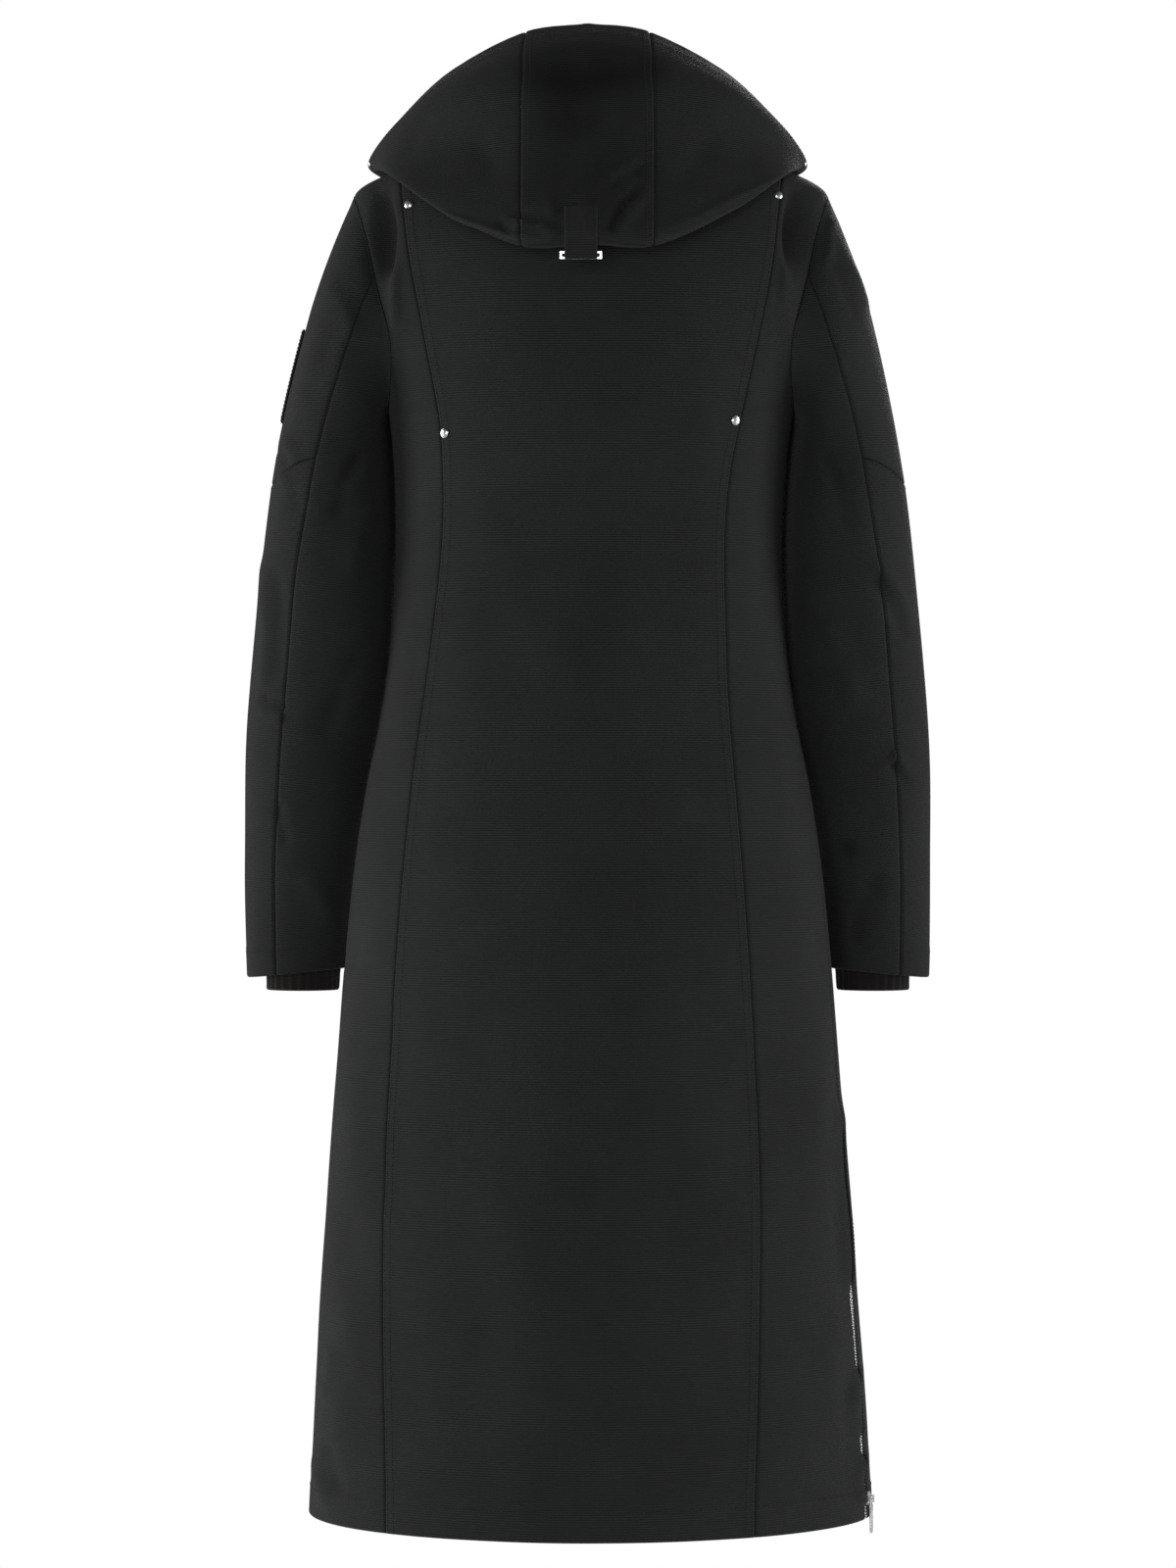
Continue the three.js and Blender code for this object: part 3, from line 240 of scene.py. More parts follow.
# Creases of the cloth: where each runs as (X, Z) places, its half width and its height (a trough is below 0)
CREASES = {
    "hood": named("line width height", [
        ([(66.9, -87.3), (53.1, -88.1), (39.3, -93.5), (22.4, -100.4)], 2.6, -3.6),
        ([(64, -93), (50, -94), (37, -99), (24, -105)], 3.2, 2.7),
        ([(73.8, -89.6), (62.3, -104.2)], 2.2, -2.4),
        ([(29.3, -86.6), (16.2, -81.2), (3.2, -75.8), (-8.4, -73.5)], 2.4, -2.7),
        ([(33.9, -76), (28.5, -88)], 2.4, 2),
        ([(-43.7, -45.1), (-29.9, -53.5), (-10.7, -66.6)], 2.8, -2.4),
        ([(-42, -40), (-27, -48), (-8, -62)], 3.4, 1.9),
        ([(-40, -60), (-34.5, -69.7), (-24.5, -80.4), (-17.6, -94.2), (-13.7, -104.2)], 3, -4.3),
        ([(-46, -64), (-41, -73), (-31, -84), (-24, -97), (-20, -106)], 3.6, 2.8),
        ([(166, -55), (136.8, -74), (94.6, -92.5), (63.8, -104.5), (22.4, -109.5)], 2.2, 2.3),
        ([(-160, -42), (-120, -66), (-84, -87), (-50, -101)], 2.4, 1.4),
        ([(92, -14), (80, -40), (74, -66)], 9, -1),
        ([(-96, -8), (-86, -36), (-66, -62)], 10, -1.1),
        ([(128, 4), (140, -16), (150, -34)], 7, -0.9),
    ]),
    "back": named("line width height", [
        ([(159, -54), (158.2, -100), (157.6, -175)], 4.2, 2.0),
        ([(-157, -50), (-155.7, -90), (-155.2, -150)], 4.2, 2.0),
        ([(169, -48), (168, -84), (164.5, -128)], 6, -3.5),
        ([(-166, -46), (-165, -78), (-161, -118)], 6, -3.2),
        ([(248.9, -249), (238.5, -275)], 4.2, 3.2),
        ([(254, -256), (242.5, -278)], 3.6, -3),
        ([(251.2, -279), (240.9, -299)], 4, 2.8),
        ([(244, -286), (235, -312)], 3.6, -2.4),
        ([(267.9, -341), (263.2, -404.8), (269, -462)], 5.5, 3),
        ([(257, -352), (252, -405), (256, -452)], 5.5, -2.3),
        ([(271, -462), (247.3, -471)], 3.2, -3.2),
        ([(271, -470), (249, -479)], 4, 2.4),
        ([(257, -545), (248.9, -584)], 4.5, -2),
        ([(215, -128), (199, -150), (188, -176)], 8, 2.1),
        ([(206, -160), (219, -196), (228, -226)], 7, -2.3),
        ([(182, -262), (198, -288), (207, -322)], 6, -2.7),
        ([(178, -300), (190, -334), (196, -372)], 8, 2.3),
        ([(184, -420), (204, -455), (222, -500)], 10, -2.3),
        ([(236, -600), (220, -632), (206, -668)], 9, 2),
        ([(-194.8, -72), (-191.6, -112)], 4, 2.7),
        ([(-198, -92), (-210, -116), (-225, -149)], 5.5, 3),
        ([(-192.4, -104), (-203, -128), (-218.6, -160)], 5.5, -2.7),
        ([(-229, -350), (-245.6, -373), (-262.3, -400)], 5, 3),
        ([(-226, -362), (-242, -386), (-258, -414)], 5.5, -2.4),
        ([(-245.6, -505), (-259, -521)], 4, 2.8),
        ([(-244, -515), (-258, -532)], 4, -2.4),
        ([(-184, -262), (-200, -292), (-208, -330)], 7, -2.4),
        ([(-188, -392), (-206, -430), (-218, -476)], 9, 2.1),
        ([(-238, -602), (-222, -640), (-214, -672)], 9, -2),
        ([(179, -640), (189, -664), (198, -686)], 5, -3.2),
        ([(-199.5, -780), (-204.5, -865), (-211, -950)], 4.5, 4.1),
        ([(-197, -838), (-201, -900), (-206, -966)], 5, -1.7),
        ([(-215.8, -1000), (-212, -1026), (-217.4, -1060)], 4.5, 4.1),
        ([(-220.6, -1070), (-215.8, -1097), (-221, -1115)], 4.5, 3.4),
        ([(-208, -1002), (-204, -1034), (-211, -1078)], 5, -1.9),
        ([(223.8, -1078), (214, -1115)], 5, 3.2),
        ([(214, -1060), (203, -1104)], 6, -3),
        ([(207, -985), (216, -1030)], 5, 2.4),
        ([(150, -700), (158, -790), (160, -880)], 16, -1.4),
        ([(-150, -720), (-160, -830), (-166, -930)], 18, -1.2),
        ([(44, -150), (16, -190), (-30, -205)], 16, -0.8),
        ([(-84, -150), (-96, -220), (-92, -290)], 14, 0.8),
        ([(98, -300), (70, -350), (50, -420)], 16, 0.8),
        ([(-100, -420), (-82, -500), (-90, -590)], 20, -1),
        ([(20, -640), (34, -760), (28, -880)], 30, 1.2),
        ([(-58, -800), (-66, -920), (-58, -1040)], 26, -1.2),
        ([(86, -860), (94, -980), (88, -1100)], 24, -1.2),
        ([(70, -1000), (20, -1016), (-30, -1008)], 12, 0.8),
    ]),
    "front": named("line width height", [
        ([(150, -190), (120, -222), (84, -236)], 9, -2.0),
        ([(-150, -186), (-118, -214), (-88, -240)], 9, -1.9),
        ([(152, -210), (128, -250), (108, -290)], 8, 1.5),
        ([(-152, -214), (-132, -256), (-104, -284)], 8, 1.6),
        ([(60, -90), (72, -150), (66, -214)], 12, 1.3),
        ([(-64, -96), (-74, -150), (-70, -206)], 12, 1.2),
        ([(118, -380), (80, -410), (34, -420)], 10, -1.8),
        ([(-122, -400), (-84, -424), (-40, -430)], 10, -1.7),
        ([(126, -440), (90, -470), (52, -484)], 9, -1.4),
        ([(-120, -460), (-92, -486), (-60, -496)], 9, -1.5),
        ([(96, -560), (112, -720), (124, -900)], 22, 2.2),
        ([(-100, -580), (-116, -740), (-130, -930)], 22, 2.0),
        ([(52, -640), (58, -820), (66, -1060)], 20, -2.0),
        ([(-54, -620), (-60, -800), (-70, -1040)], 20, -2.1),
        ([(206, -840), (211, -900), (216, -960)], 5, -1.7),
        ([(-198, -870), (-204, -930), (-210, -990)], 5, -1.6),
        ([(248, -270), (226, -288), (204, -292)], 6, -2.2),
        ([(252, -296), (232, -312), (206, -322)], 6, 1.9),
        ([(250, -318), (226, -336), (200, -340)], 6, -1.9),
        ([(-250, -262), (-228, -284), (-206, -290)], 6, -2.1),
        ([(-254, -290), (-234, -308), (-210, -318)], 6, 1.8),
        ([(-252, -316), (-230, -330), (-204, -338)], 6, -1.9),
        ([(262, -480), (240, -500), (214, -508)], 6, -1.4),
        ([(-262, -470), (-244, -492), (-216, -504)], 6, -1.5),
        ([(258, -590), (236, -612), (212, -620)], 7, 1.3),
        ([(-258, -600), (-240, -618), (-216, -628)], 7, 1.2),
        ([(206, -110), (216, -150), (222, -190)], 8, -1.3),
        ([(-204, -116), (-214, -150), (-224, -196)], 8, -1.2),
    ]),
}

# Broad dents and swellings: the middle of each, its reach and its height
DENTS = {
    "hood": named("x z reach_x reach_z height", [
        (-16, 38, 36, 18, -9),
        (26, 36, 32, 18, -8),
        (14, 0, 28, 26, -5),
        (-24, -26, 18, 22, 1.8),
        (96, 10, 26, 24, 1.6),
        (-104, 4, 28, 24, 1.8),
    ]),
    "back": named("x z reach_x reach_z height", [
        (166, -92, 9, 30, -12),
        (-163, -90, 9, 30, -12),
        (155, -487, 13, 46, 2.6),
        (-158, -520, 12, 50, 1.8),
        (195, -805, 13, 46, 2.6),
        (198, -891, 13, 30, -2.4),
        (199, -960, 15, 38, 3.0),
        (204, -1037, 12, 28, 2.2),
        (-189, -775, 11, 50, 2.4),
        (-196, -1000, 12, 44, 2.2),
        (-207, -586, 9, 7, -3.4),
    ]),
    "front": named("x z reach_x reach_z height", [
        (96, -150, 42, 50, 2.2),
        (-96, -150, 42, 50, 2.2),
        (60, -380, 40, 40, -2.0),
        (-62, -384, 40, 40, -2.0),
    ]),
}

SIDES = {"left": 1, "right": -1}

# Rows of stitches: the panel, its edge, how far from the edge, and the part of the row's length
STITCH_ROWS = {
    "body":
        [("back_centre", edge, away, 0, 0.965) for edge in SIDES for away in (2.5, 8)]
        + [(name, "bottom", 24, 0, 1) for name in
           ("back_centre", "back_side_left", "back_side_right", "front_left", "front_right")],
    "front_edges":
        [(f"front_{word}", "right", away, 0, 1) for word in SIDES for away in (2.5, 9)]
        + [(f"{name}_{word}", "left", 2.5, start, end) for name, start, end in
           (("back_side", 0, 0.31), ("front", 0, 0.31), ("back_side", 0.8, 0.985), ("front", 0.78, 0.95))
           for word in SIDES],
    "sleeves":
        [(f"sleeve_{part}_{word}", edge, 2.5, 0, 1)
         for edge in ("right", "left") for word in SIDES for part in ("upper", "lower")]
        + [(f"sleeve_lower_{word}", "bottom", 2.5, 0, 1) for word in SIDES]
        + [(f"sleeve_{part}_{word}", "top", 22, 0, 1) for part in ("lower", "under") for word in SIDES]
        + [("sleeve_patch_left", edge, 2, 0, 1) for edge in ("left", "right", "bottom", "top")],
    "hood":
        [("hood_centre", edge, away, 0, 0.75) for edge in SIDES for away in (2.2, 6.5)]
        + [(name, "bottom", 20, 0, 1) for name in ("hood_centre", "hood_side_left", "hood_side_right")]
        + [(f"hood_side_{word}", "right", 3, 0, 0.9) for word in SIDES]
        + [("hood_tab", edge, 2, 0, 1) for edge in ("left", "right", "top")],
}

# Grid lines of the panels: along their rows, and across
ROWS = {"armhole": 61, "shoulder": 22, "sleeve_upper": 66, "sleeve_lower": 112, "sleeve_under": 176,
        "hood": 104, "side_tape": 80, "throat": 60, "tab": 28, "patch": 22}
COLUMNS = {"back_centre": 84, "back_side": 22, "front": 56, "sleeve_outer": 30, "sleeve_under": 64,
           "hood_centre": 30, "hood_side": 97, "tape": 9, "tab": 16, "patch": 26}
HOOD_SIDE_TURNS = [30, 42, 54, 66, 76, 86, 94, 104, 118, 134, 150, 166, 178]

# Stitches and zip teeth
STITCH = {"long": 2.3, "pitch": 3.2, "radius": 0.3, "sides": 6}
TOOTH = {"half_wide": 1.25, "half_long": 0.55, "high": 2.6, "pitch": 1.15, "aside": 0.85, "sides": 8}

# How far the weave's rows drop with each millimetre backwards on the hood, and outwards on a sleeve
HOOD_ROWS_DROP = 0.15
SLEEVE_ROWS_DROP = 0.107

# The heights of the relief between which a painted shade darkens the cloth's colour in troughs and hollows
# and a painted highlight lightens it on ridges, and by what share
PAINTED_FOLD_SHADING = {"hollows": [(-2.5, -10, 0.42), (-1.0, -3.4, 0.3)], "ridges": (0.8, 3.0, 0.16)}

# Every crease: the part of its length that fades at each end, and how much and how fast its height varies
CREASE = {"fade": 0.16, "uneven": 0.25, "swells": 9}

# Soft waves of the whole cloth: their height, and lengths over X with Z and over Y with Z
WAVES = named("height x xz start y yz", [
    (0.45, 31, 47, 0, 37, -71),
    (0.3, 17, -83, 1.3, 23, 41),
])

# Where the relief is calmed: how far the cloth faces sideways, the heights of the arm, and beside a seam
CALM = {"facing": (0.72, 0.93), "low": (-690, -640), "high": (-150, -215), "seam": 9, "under_armpit": 4}

# Seams: how far the cloth rises beside them and sinks in them, by their kind
RAISE = {"sewn": 0.28, "soft": 0.15}
SINK = {"plain": 0.55, "sewn": 0.55, "hem": 0.25, "soft": 0.4, "joined": 0.2}
SINK_REACH = 1.4
JOINED_REACH = 1.6
ALLOWANCE = (12, 8.5)
TURN_UP = {"rise": 0.35, "reach": (27, 24)}
PUCKER = {"height": 0.13, "away": 5, "reach": 4, "length": 2.3, "drift": 13, "drifts": 1.7,
          "swell": 29, "varies": 0.4}

# Cloths: their colour, roughness and sheen, a rib's and a thread's width, the strength of the weave's relief,
# and whether painted shade and highlight of the folds darken and lighten their colour
CLOTHS = named("name colour roughness sheen rib thread bump toned", [
    ("shell cloth", (0.0100, 0.0111, 0.0107), 0.66, 0.03, 1.9, 0.9, 0.8, True),
    ("tab cloth", (0.0122, 0.0134, 0.0129), 0.66, 0.03, 1.9, 0.9, 0.9, True),
    ("zip tape", (0.0065, 0.007, 0.0068), 0.85, 0.03, 1, 1, 0.5, True),
    ("rib knit", (0.0105, 0.0078, 0.0078), 0.9, 0.06, 1.6, 1.2, 0.8, True),
    ("patch cloth", (0.0085, 0.0092, 0.009), 0.75, 0.04, 0.9, 0.9, 0.5, True),
    ("sewing thread", (0.0125, 0.0135, 0.013), 0.7, 0.03, 0.6, 0.6, 0.1, False),
])
CLOTH_SPECULAR = 0.14
CLOTH_SHEEN_ROUGHNESS = 0.45
WEAVE_DEPTH = 0.4
RUB_RANGE = 0.2

# The weave's slubs, its crossing threads and how dark it gets, and the wear's noises (scale, detail)
SLUB = {"noise": (220, 3), "shift": 2.4, "height": 0.5}
THREAD_HEIGHT = 0.18
WEAVE_SHADE = (0.42, 0.62)
WEAR_NOISE = {"broad": (9, 4), "fine": (42, 5)}
FINE_SHARE = 0.45
WEAR_SHADE = (0.8, 0.42)
RUB_NOISE = (900, 2)

# The light that the white ground gives: its change towards the top, and its strength at the horizon
GROUND_LIGHT = (-0.34, 0.32)

# Soft lamps: where they stand and point and how large they are, in metres, and their watts
LAMPS = named("name place target size power", [
    ("key", (0.5, 4.3, -0.4), (0, 0, -0.6), (1.5, 1.2), 96),
    ("left side", (2.5, 0.1, -0.4), (0, 0, -0.6), (0.9, 2.4), 48),
    ("right side", (-2.5, 0.1, -0.4), (0, 0, -0.6), (0.9, 2.4), 38),
    ("front", (-0.8, -4.2, 1.4), (0, 0, -0.45), (2.6, 2.0), 90),
])


# Curves and surfaces

def smooth_step(start, end, value):
    t = np.clip((value - start) / (end - start), 0, 1)
    return t * t * (3 - 2 * t)


def along(rows, place, column):
    """A smooth value of a table's column at a place on its first column."""
    keys = next(iter(rows.values()))
    values = rows[column]
    last = len(keys) - 1
    place = np.clip(place, keys[0], keys[-1])
    high = np.clip(np.searchsorted(keys, place), 1, last)
    low = high - 1
    before = np.maximum(low - 1, 0)
    after = np.minimum(high + 1, last)
    span = keys[high] - keys[low]
    t = (place - keys[low]) / span
    start = (values[high] - values[before]) / (keys[high] - keys[before]) * span
    end = (values[after] - values[low]) / (keys[after] - keys[low]) * span
    rise = values[high] - values[low]
    return (start + end - 2 * rise) * t ** 3 + (3 * rise - 2 * start - end) * t ** 2 + start * t + values[low]


def super_ellipse(degrees, power):
    c = np.cos(np.radians(degrees))
    s = np.sin(np.radians(degrees))
    return np.sign(c) * np.abs(c) ** (2 / power), np.sign(s) * np.abs(s) ** (2 / power)


def points_of(x, y, z):
    return np.stack(np.broadcast_arrays(x, y, z), axis=-1).astype(float)


def unit(vectors):
    return vectors / np.maximum(np.linalg.norm(vectors, axis=-1, keepdims=True), 1e-9)


def fold_depth(x, z):
    depth = 0
    for fold in FOLDS:
        across_x = (np.abs(x) - fold["x"]) / fold["reach_x"]
        across_z = (z - fold["z"]) / fold["reach_z"]
        depth = depth + fold["depth"] * np.exp(-across_x ** 2 - across_z ** 2)
    return depth


def torso_point(side, angle, row, height=None):
    height = row if height is None else height
    level = np.clip(row, HEM, 0)
    c, s = super_ellipse(angle, along(TORSO, level, "power"))
    x = side * along(TORSO, level, "half") * c
    depth = np.where(s < 0, along(TORSO, height, "front"), along(TORSO, height, "back"))
    fold = np.where(s > 0, fold_depth(x, height) * smooth_step(0, 0.3, s), 0)
    return points_of(x + along(HANG, level, "lean"), depth * s + fold, height)


def angle_of_x(x, z):
    part = np.minimum(np.abs(x) / along(TORSO, z, "half"), 1)
    angle = np.degrees(np.arccos(part ** (along(TORSO, z, "power") / 2)))
    return np.where(x < 0, 180 - angle, angle)


def angle_of_y(y, z):
    depth = np.where(y < 0, along(TORSO, z, "front"), along(TORSO, z, "back"))
    part = np.minimum(np.abs(y) / depth, 1)
    return np.sign(y) * np.degrees(np.arcsin(part ** (along(TORSO, z, "power") / 2)))


def side_y(side, z):
    return along(SIDE_SEAM, z, "left" if side > 0 else "right")


def centre_x(side, z):
    return -side * along(HANG, z, "shift")


def back_seam_angle(side, z):
    return angle_of_x(along(BACK_SEAM, z, "half") + side * along(HANG, z, "shift"), z)


def side_space(z):
    return ZIP_HALF_SPACE * smooth_step(SIDE_ZIP_TOP + ZIP_OPENS_OVER, SIDE_ZIP_TOP - ZIP_OPENS_OVER, z)


def armhole_angle(z):
    turns = np.linspace(180, 0, 361)
    heights = along(ARMHOLE, turns, "z")
    return np.interp(z, heights, along(ARMHOLE, turns, "angle"))


def side_edge_angle(side, z, towards):
    low = angle_of_y(side_y(side, z) + towards * side_space(z), z)
    high = towards * np.where(z < SHOULDER_TIP, armhole_angle(z), 0)
    return np.where(z < ARMPIT, low, high)


def sleeve_section(side, turn, place):
    c, s = super_ellipse(turn, SLEEVE_POWER)
    outer_x, outer_z = along(SLEEVE, place, "out_x"), along(SLEEVE, place, "out_z")
    inner_x, inner_z = along(SLEEVE, place, "in_x"), along(SLEEVE, place, "in_z")
    outer_x = side * outer_x + SLEEVE_LEAN * smooth_step(0, 0.4, place)
    inner_x = side * inner_x + along(HANG, inner_z, "lean")
    x = (outer_x + inner_x) / 2 + (outer_x - inner_x) / 2 * c
    z = (outer_z + inner_z) / 2 + (outer_z - inner_z) / 2 * c
    off = (turn - TUCK["turn"] + 180) % 360 - 180
    tucked = smooth_step(TUCK["start"], TUCK["full"], place) * smooth_step(TUCK["end"], TUCK["fade"], place)
    inwards = TUCK["depth"] * np.exp(-(off / TUCK["reach"]) ** 2) - TUCK["apart"] * (1 - c) / 2
    x = x - side * inwards * tucked
    return points_of(x, along(SLEEVE, place, "y") + along(SLEEVE, place, "depth") * s, z)


def sleeve_point(side, turn, place):
    """Turn 0 is the outside, 90 the back, 180 the inside and -90 or 270 the front."""
    turn = np.where(turn > 180, turn - 360, turn)
    size = np.abs(turn)
    z = along(ARMHOLE, size, "z")
    on_body = torso_point(side, np.where(turn < 0, -1, 1) * along(ARMHOLE, size, "angle"), z)
    blend = smooth_step(0, HEAD_BLEND, place)[..., None]
    return on_body * (1 - blend) + sleeve_section(side, turn, place) * blend


def seam_turn(turn, place):
    """A column's turn, moved with the seam that it starts from."""
    seam = along(SLEEVE_SEAM, place, "turn")
    size = np.minimum(np.abs(turn), 360 - np.abs(turn))
    outside = size * seam / SLEEVE_SEAM_TURN
    inside = 180 - (180 - size) * (180 - seam) / (180 - SLEEVE_SEAM_TURN)
    moved = np.where(size <= SLEEVE_SEAM_TURN, outside, inside)
    return np.where(turn < 0, -moved, np.where(turn > 180, 360 - moved, moved))


def elbow_at(turn):
    return ELBOW_ALONG - ELBOW_SLOPE * smooth_step(0, 60, np.abs(turn))


def hood_neck(side, turn):
    angle = 90 - turn
    part = np.maximum(-angle, 0) / 90
    rise = NAPE_RISE * np.sin(np.radians(angle)) ** 2
    height = np.where(angle > 0, rise, -NECK_DROP * part ** NECK_DROP_POWER)
    return torso_point(side, angle, np.zeros_like(angle), height) + np.array([0, 0, 0.6])


def centripetal_curve(profile, place):
    """A centripetal curve through the profile's points, which lie along its second last axis."""
    last = profile.shape[-2] - 1
    before = 2 * profile[..., :1, :] - profile[..., 1:2, :]
    after = 2 * profile[..., -1:, :] - profile[..., -2:-1, :]
    knots = np.concatenate([before, profile, after], axis=-2)
    whole = np.clip(np.floor(place * last).astype(int), 0, last - 1)
    t = (place * last - whole)[..., None]
    x0, x1, x2, x3 = (
        np.take_along_axis(knots, (whole + i)[..., None, None], axis=-2)[..., 0, :] for i in range(4)
    )
    d0, d1, d2 = (
        np.maximum(np.sqrt(np.linalg.norm(b - a, axis=-1, keepdims=True)), 1e-2)
        for a, b in ((x0, x1), (x1, x2), (x2, x3))
    )
    start = ((x1 - x0) / d0 - (x2 - x0) / (d0 + d1) + (x2 - x1) / d1) * d1
    end = ((x2 - x1) / d1 - (x3 - x1) / (d1 + d2) + (x3 - x2) / d2) * d1
    cube = 2 * x1 - 2 * x2 + start + end
    square = -3 * x1 + 3 * x2 - 2 * start - end
    return x1 + start * t + square * t ** 2 + cube * t ** 3


def hood_point(side, turn, v):
    """The turn runs from the back centre to the throat, and v from the rim (0) to the neck seam (1)."""
    turn, v = np.broadcast_arrays(np.asarray(turn, float), np.asarray(v, float))
    size = np.abs(turn)
    half = np.where(turn < 0, -side, side)
    profile = []
    for name, rows in HOOD.items():
        lean = 0 if name == "seat" else HOOD_LEAN * smooth_step(THROAT_TURN, HOOD_LEANS_TO, size)
        x, y, z = (along(rows, size, column) for column in "xyz")
        profile.append(points_of(half * x + lean, y, z))
    profile.append(hood_neck(half, size))
    return centripetal_curve(np.stack(profile, axis=-2), v)


# Meshes

def grid_normals(points, facing):
    across = np.gradient(points, axis=1)
    up = np.gradient(points, axis=0)
    return unit(np.cross(across, up)) * facing


def add_mesh(name, points, faces, material, uv=None):
    mesh = bpy.data.meshes.new(name)
    mesh.from_pydata((points * MM).tolist(), [], faces.tolist())
    mesh.polygons.foreach_set("use_smooth", np.ones(len(mesh.polygons), bool))
    if uv is not None:
        corners = np.empty(len(mesh.loops), int)
        mesh.loops.foreach_get("vertex_index", corners)
        layer = mesh.uv_layers.new(name="cloth")
        layer.data.foreach_set("uv", (uv[corners] * MM).ravel())
    mesh.materials.append(material)
    mesh.update()
    piece = bpy.data.objects.new(name, mesh)
    bpy.context.scene.collection.objects.link(piece)
    return piece


def volume_of(points, faces):
    a, b, c, d = (points[faces[:, i]] for i in range(4))
    return np.sum(np.cross(a, b) * c) + np.sum(np.cross(a, c) * d)


def wall_faces(rows, columns, ring):
    """Faces of a closed wall over a grid. A ring's last column joins its first."""
    index = np.arange(rows * columns).reshape(rows, columns)
    if ring:
        index = np.concatenate([index, index[:, :1]], axis=1)
    a, b, c, d = index[:-1, :-1], index[:-1, 1:], index[1:, 1:], index[1:, :-1]
    outer = np.stack([a, b, c, d], axis=-1).reshape(-1, 4)
    inner = outer[:, ::-1] + rows * columns
    edges = [index[0, ::-1], index[-1]]
    if not ring:
        edges += [index[:, 0], index[::-1, -1]]
    rims = []
    for edge in edges:
        low, high = edge[:-1], edge[1:]
        rims.append(np.stack([low, high, high + rows * columns, low + rows * columns], axis=-1))
    return np.concatenate([outer, inner] + rims)


def arc_lengths(points, axis):
    steps = np.linalg.norm(np.diff(points, axis=axis), axis=-1)
    start = np.zeros_like(np.take(steps, [0], axis=axis))
    return np.concatenate([start, np.cumsum(steps, axis=axis)], axis=axis)


def add_wall(name, outer, inner, material, ring=False, height=None):
    rows, columns = outer.shape[:2]
    faces = wall_faces(rows, columns, ring)
    points = np.concatenate([outer.reshape(-1, 3), inner.reshape(-1, 3)])
    if volume_of(points, faces) < 0:
        faces = faces[:, ::-1]
    middle = columns // 2
    across = arc_lengths(outer, 1)
    across = across - across[:, middle:middle + 1]
    up = np.broadcast_to(arc_lengths(outer, 0)[:, middle:middle + 1], across.shape)
    if name.startswith("hood_"):
        across, up = outer[..., 0], outer[..., 2] - HOOD_ROWS_DROP * outer[..., 1]
    if name.startswith("sleeve_"):
        up = outer[..., 2] - SLEEVE_ROWS_DROP * np.abs(outer[..., 0])
    uv = np.stack([across, up], axis=-1).reshape(-1, 2)
    piece = add_mesh(name, points, faces, material, np.concatenate([uv, uv]))
    # Painted shade and highlight of the folds, from the relief's height, kept on the outer points to darken
    # or lighten the cloth's colour; the inner face keeps a factor of 1
    painted_shading = np.ones(rows * columns) if height is None else painted_fold_shading_of(height).ravel()
    layer = piece.data.attributes.new(name="painted_shading", type="FLOAT", domain="POINT")
    layer.data.foreach_set("value", np.concatenate([painted_shading, np.ones_like(painted_shading)]))
    return piece


def painted_fold_shading_of(height):
    """Painted shading: troughs and hollows of the relief get a painted shade, and ridges a painted highlight
    that makes them a little lighter.
    """
    hollow = sum(smooth_step(start, end, height) * share for start, end, share in PAINTED_FOLD_SHADING["hollows"])
    start, end, share = PAINTED_FOLD_SHADING["ridges"]
    return (1 - hollow) * (1 + share * smooth_step(start, end, height))


# Cloth: how deep the outer face dips on the three grid lines nearest an edge, and where these lie
EDGE_LINES = (0.8, 1.8, 3.0)
EDGE_DIPS = (1.0, 0.35, 0.08)
EDGE_DRAWN_AT_MOST = 0.1
EDGE_LINE_SHARE = 0.22


def with_edge_lines(points):
    """Adds grid lines close to the four edges, and draws the edges in by half a seam's gap."""
    for axis in (0, 1):
        points = np.moveaxis(points, axis, 0)
        ends = []
        for edge, inside in ((points[0], points[1]), (points[-1], points[-2])):
            step = inside - edge
            length = np.maximum(np.linalg.norm(step, axis=-1, keepdims=True), 1e-6)
            lines = [edge + step / length * np.minimum(SEAM_GAP / 2, length * EDGE_DRAWN_AT_MOST)]
            for i, line in enumerate(EDGE_LINES):
                lines.append(edge + step * np.minimum(line / length, EDGE_LINE_SHARE * (i + 1)))
            ends.append(np.stack(lines))
        points = np.concatenate([ends[0], points[1:-1], ends[1][::-1]])
        points = np.moveaxis(points, 0, axis)
    return points


def edge_dips(shape):
    rows, columns = np.indices(shape)
    ring = np.minimum(np.minimum(rows, shape[0] - 1 - rows), np.minimum(columns, shape[1] - 1 - columns))
    dips = np.array(EDGE_DIPS + (0,))
    return dips[np.minimum(ring, len(EDGE_DIPS))][..., None]


PANELS = {}


def cloth_panel(name, points, facing, material, wall=WALL, seams=None, creased=True):
    """A panel of cloth on its solid's form, as a thin closed shell that stands for the solid."""
    points = with_edge_lines(points)
    normals = grid_normals(points, facing)
    shaped = None
    if creased:
        height = relief(points, normals, name.startswith("hood")) * calm(name, points, normals, seams or {})
        shaped = height.copy()
        height += seam_relief(points, seams or {})
        points = points + normals * height[..., None]
    outer = points - normals * edge_dips(points.shape[:2])
    inner = points - normals * wall
    # The relief's height also gives the painted shade and highlight of the folds
    piece = add_wall(f"{name}.cloth", outer, inner, material, height=shaped)
    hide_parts(name)
    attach(piece, "garment")
    PANELS[name] = {"points": points, "normals": normals, "piece": piece}
    return piece


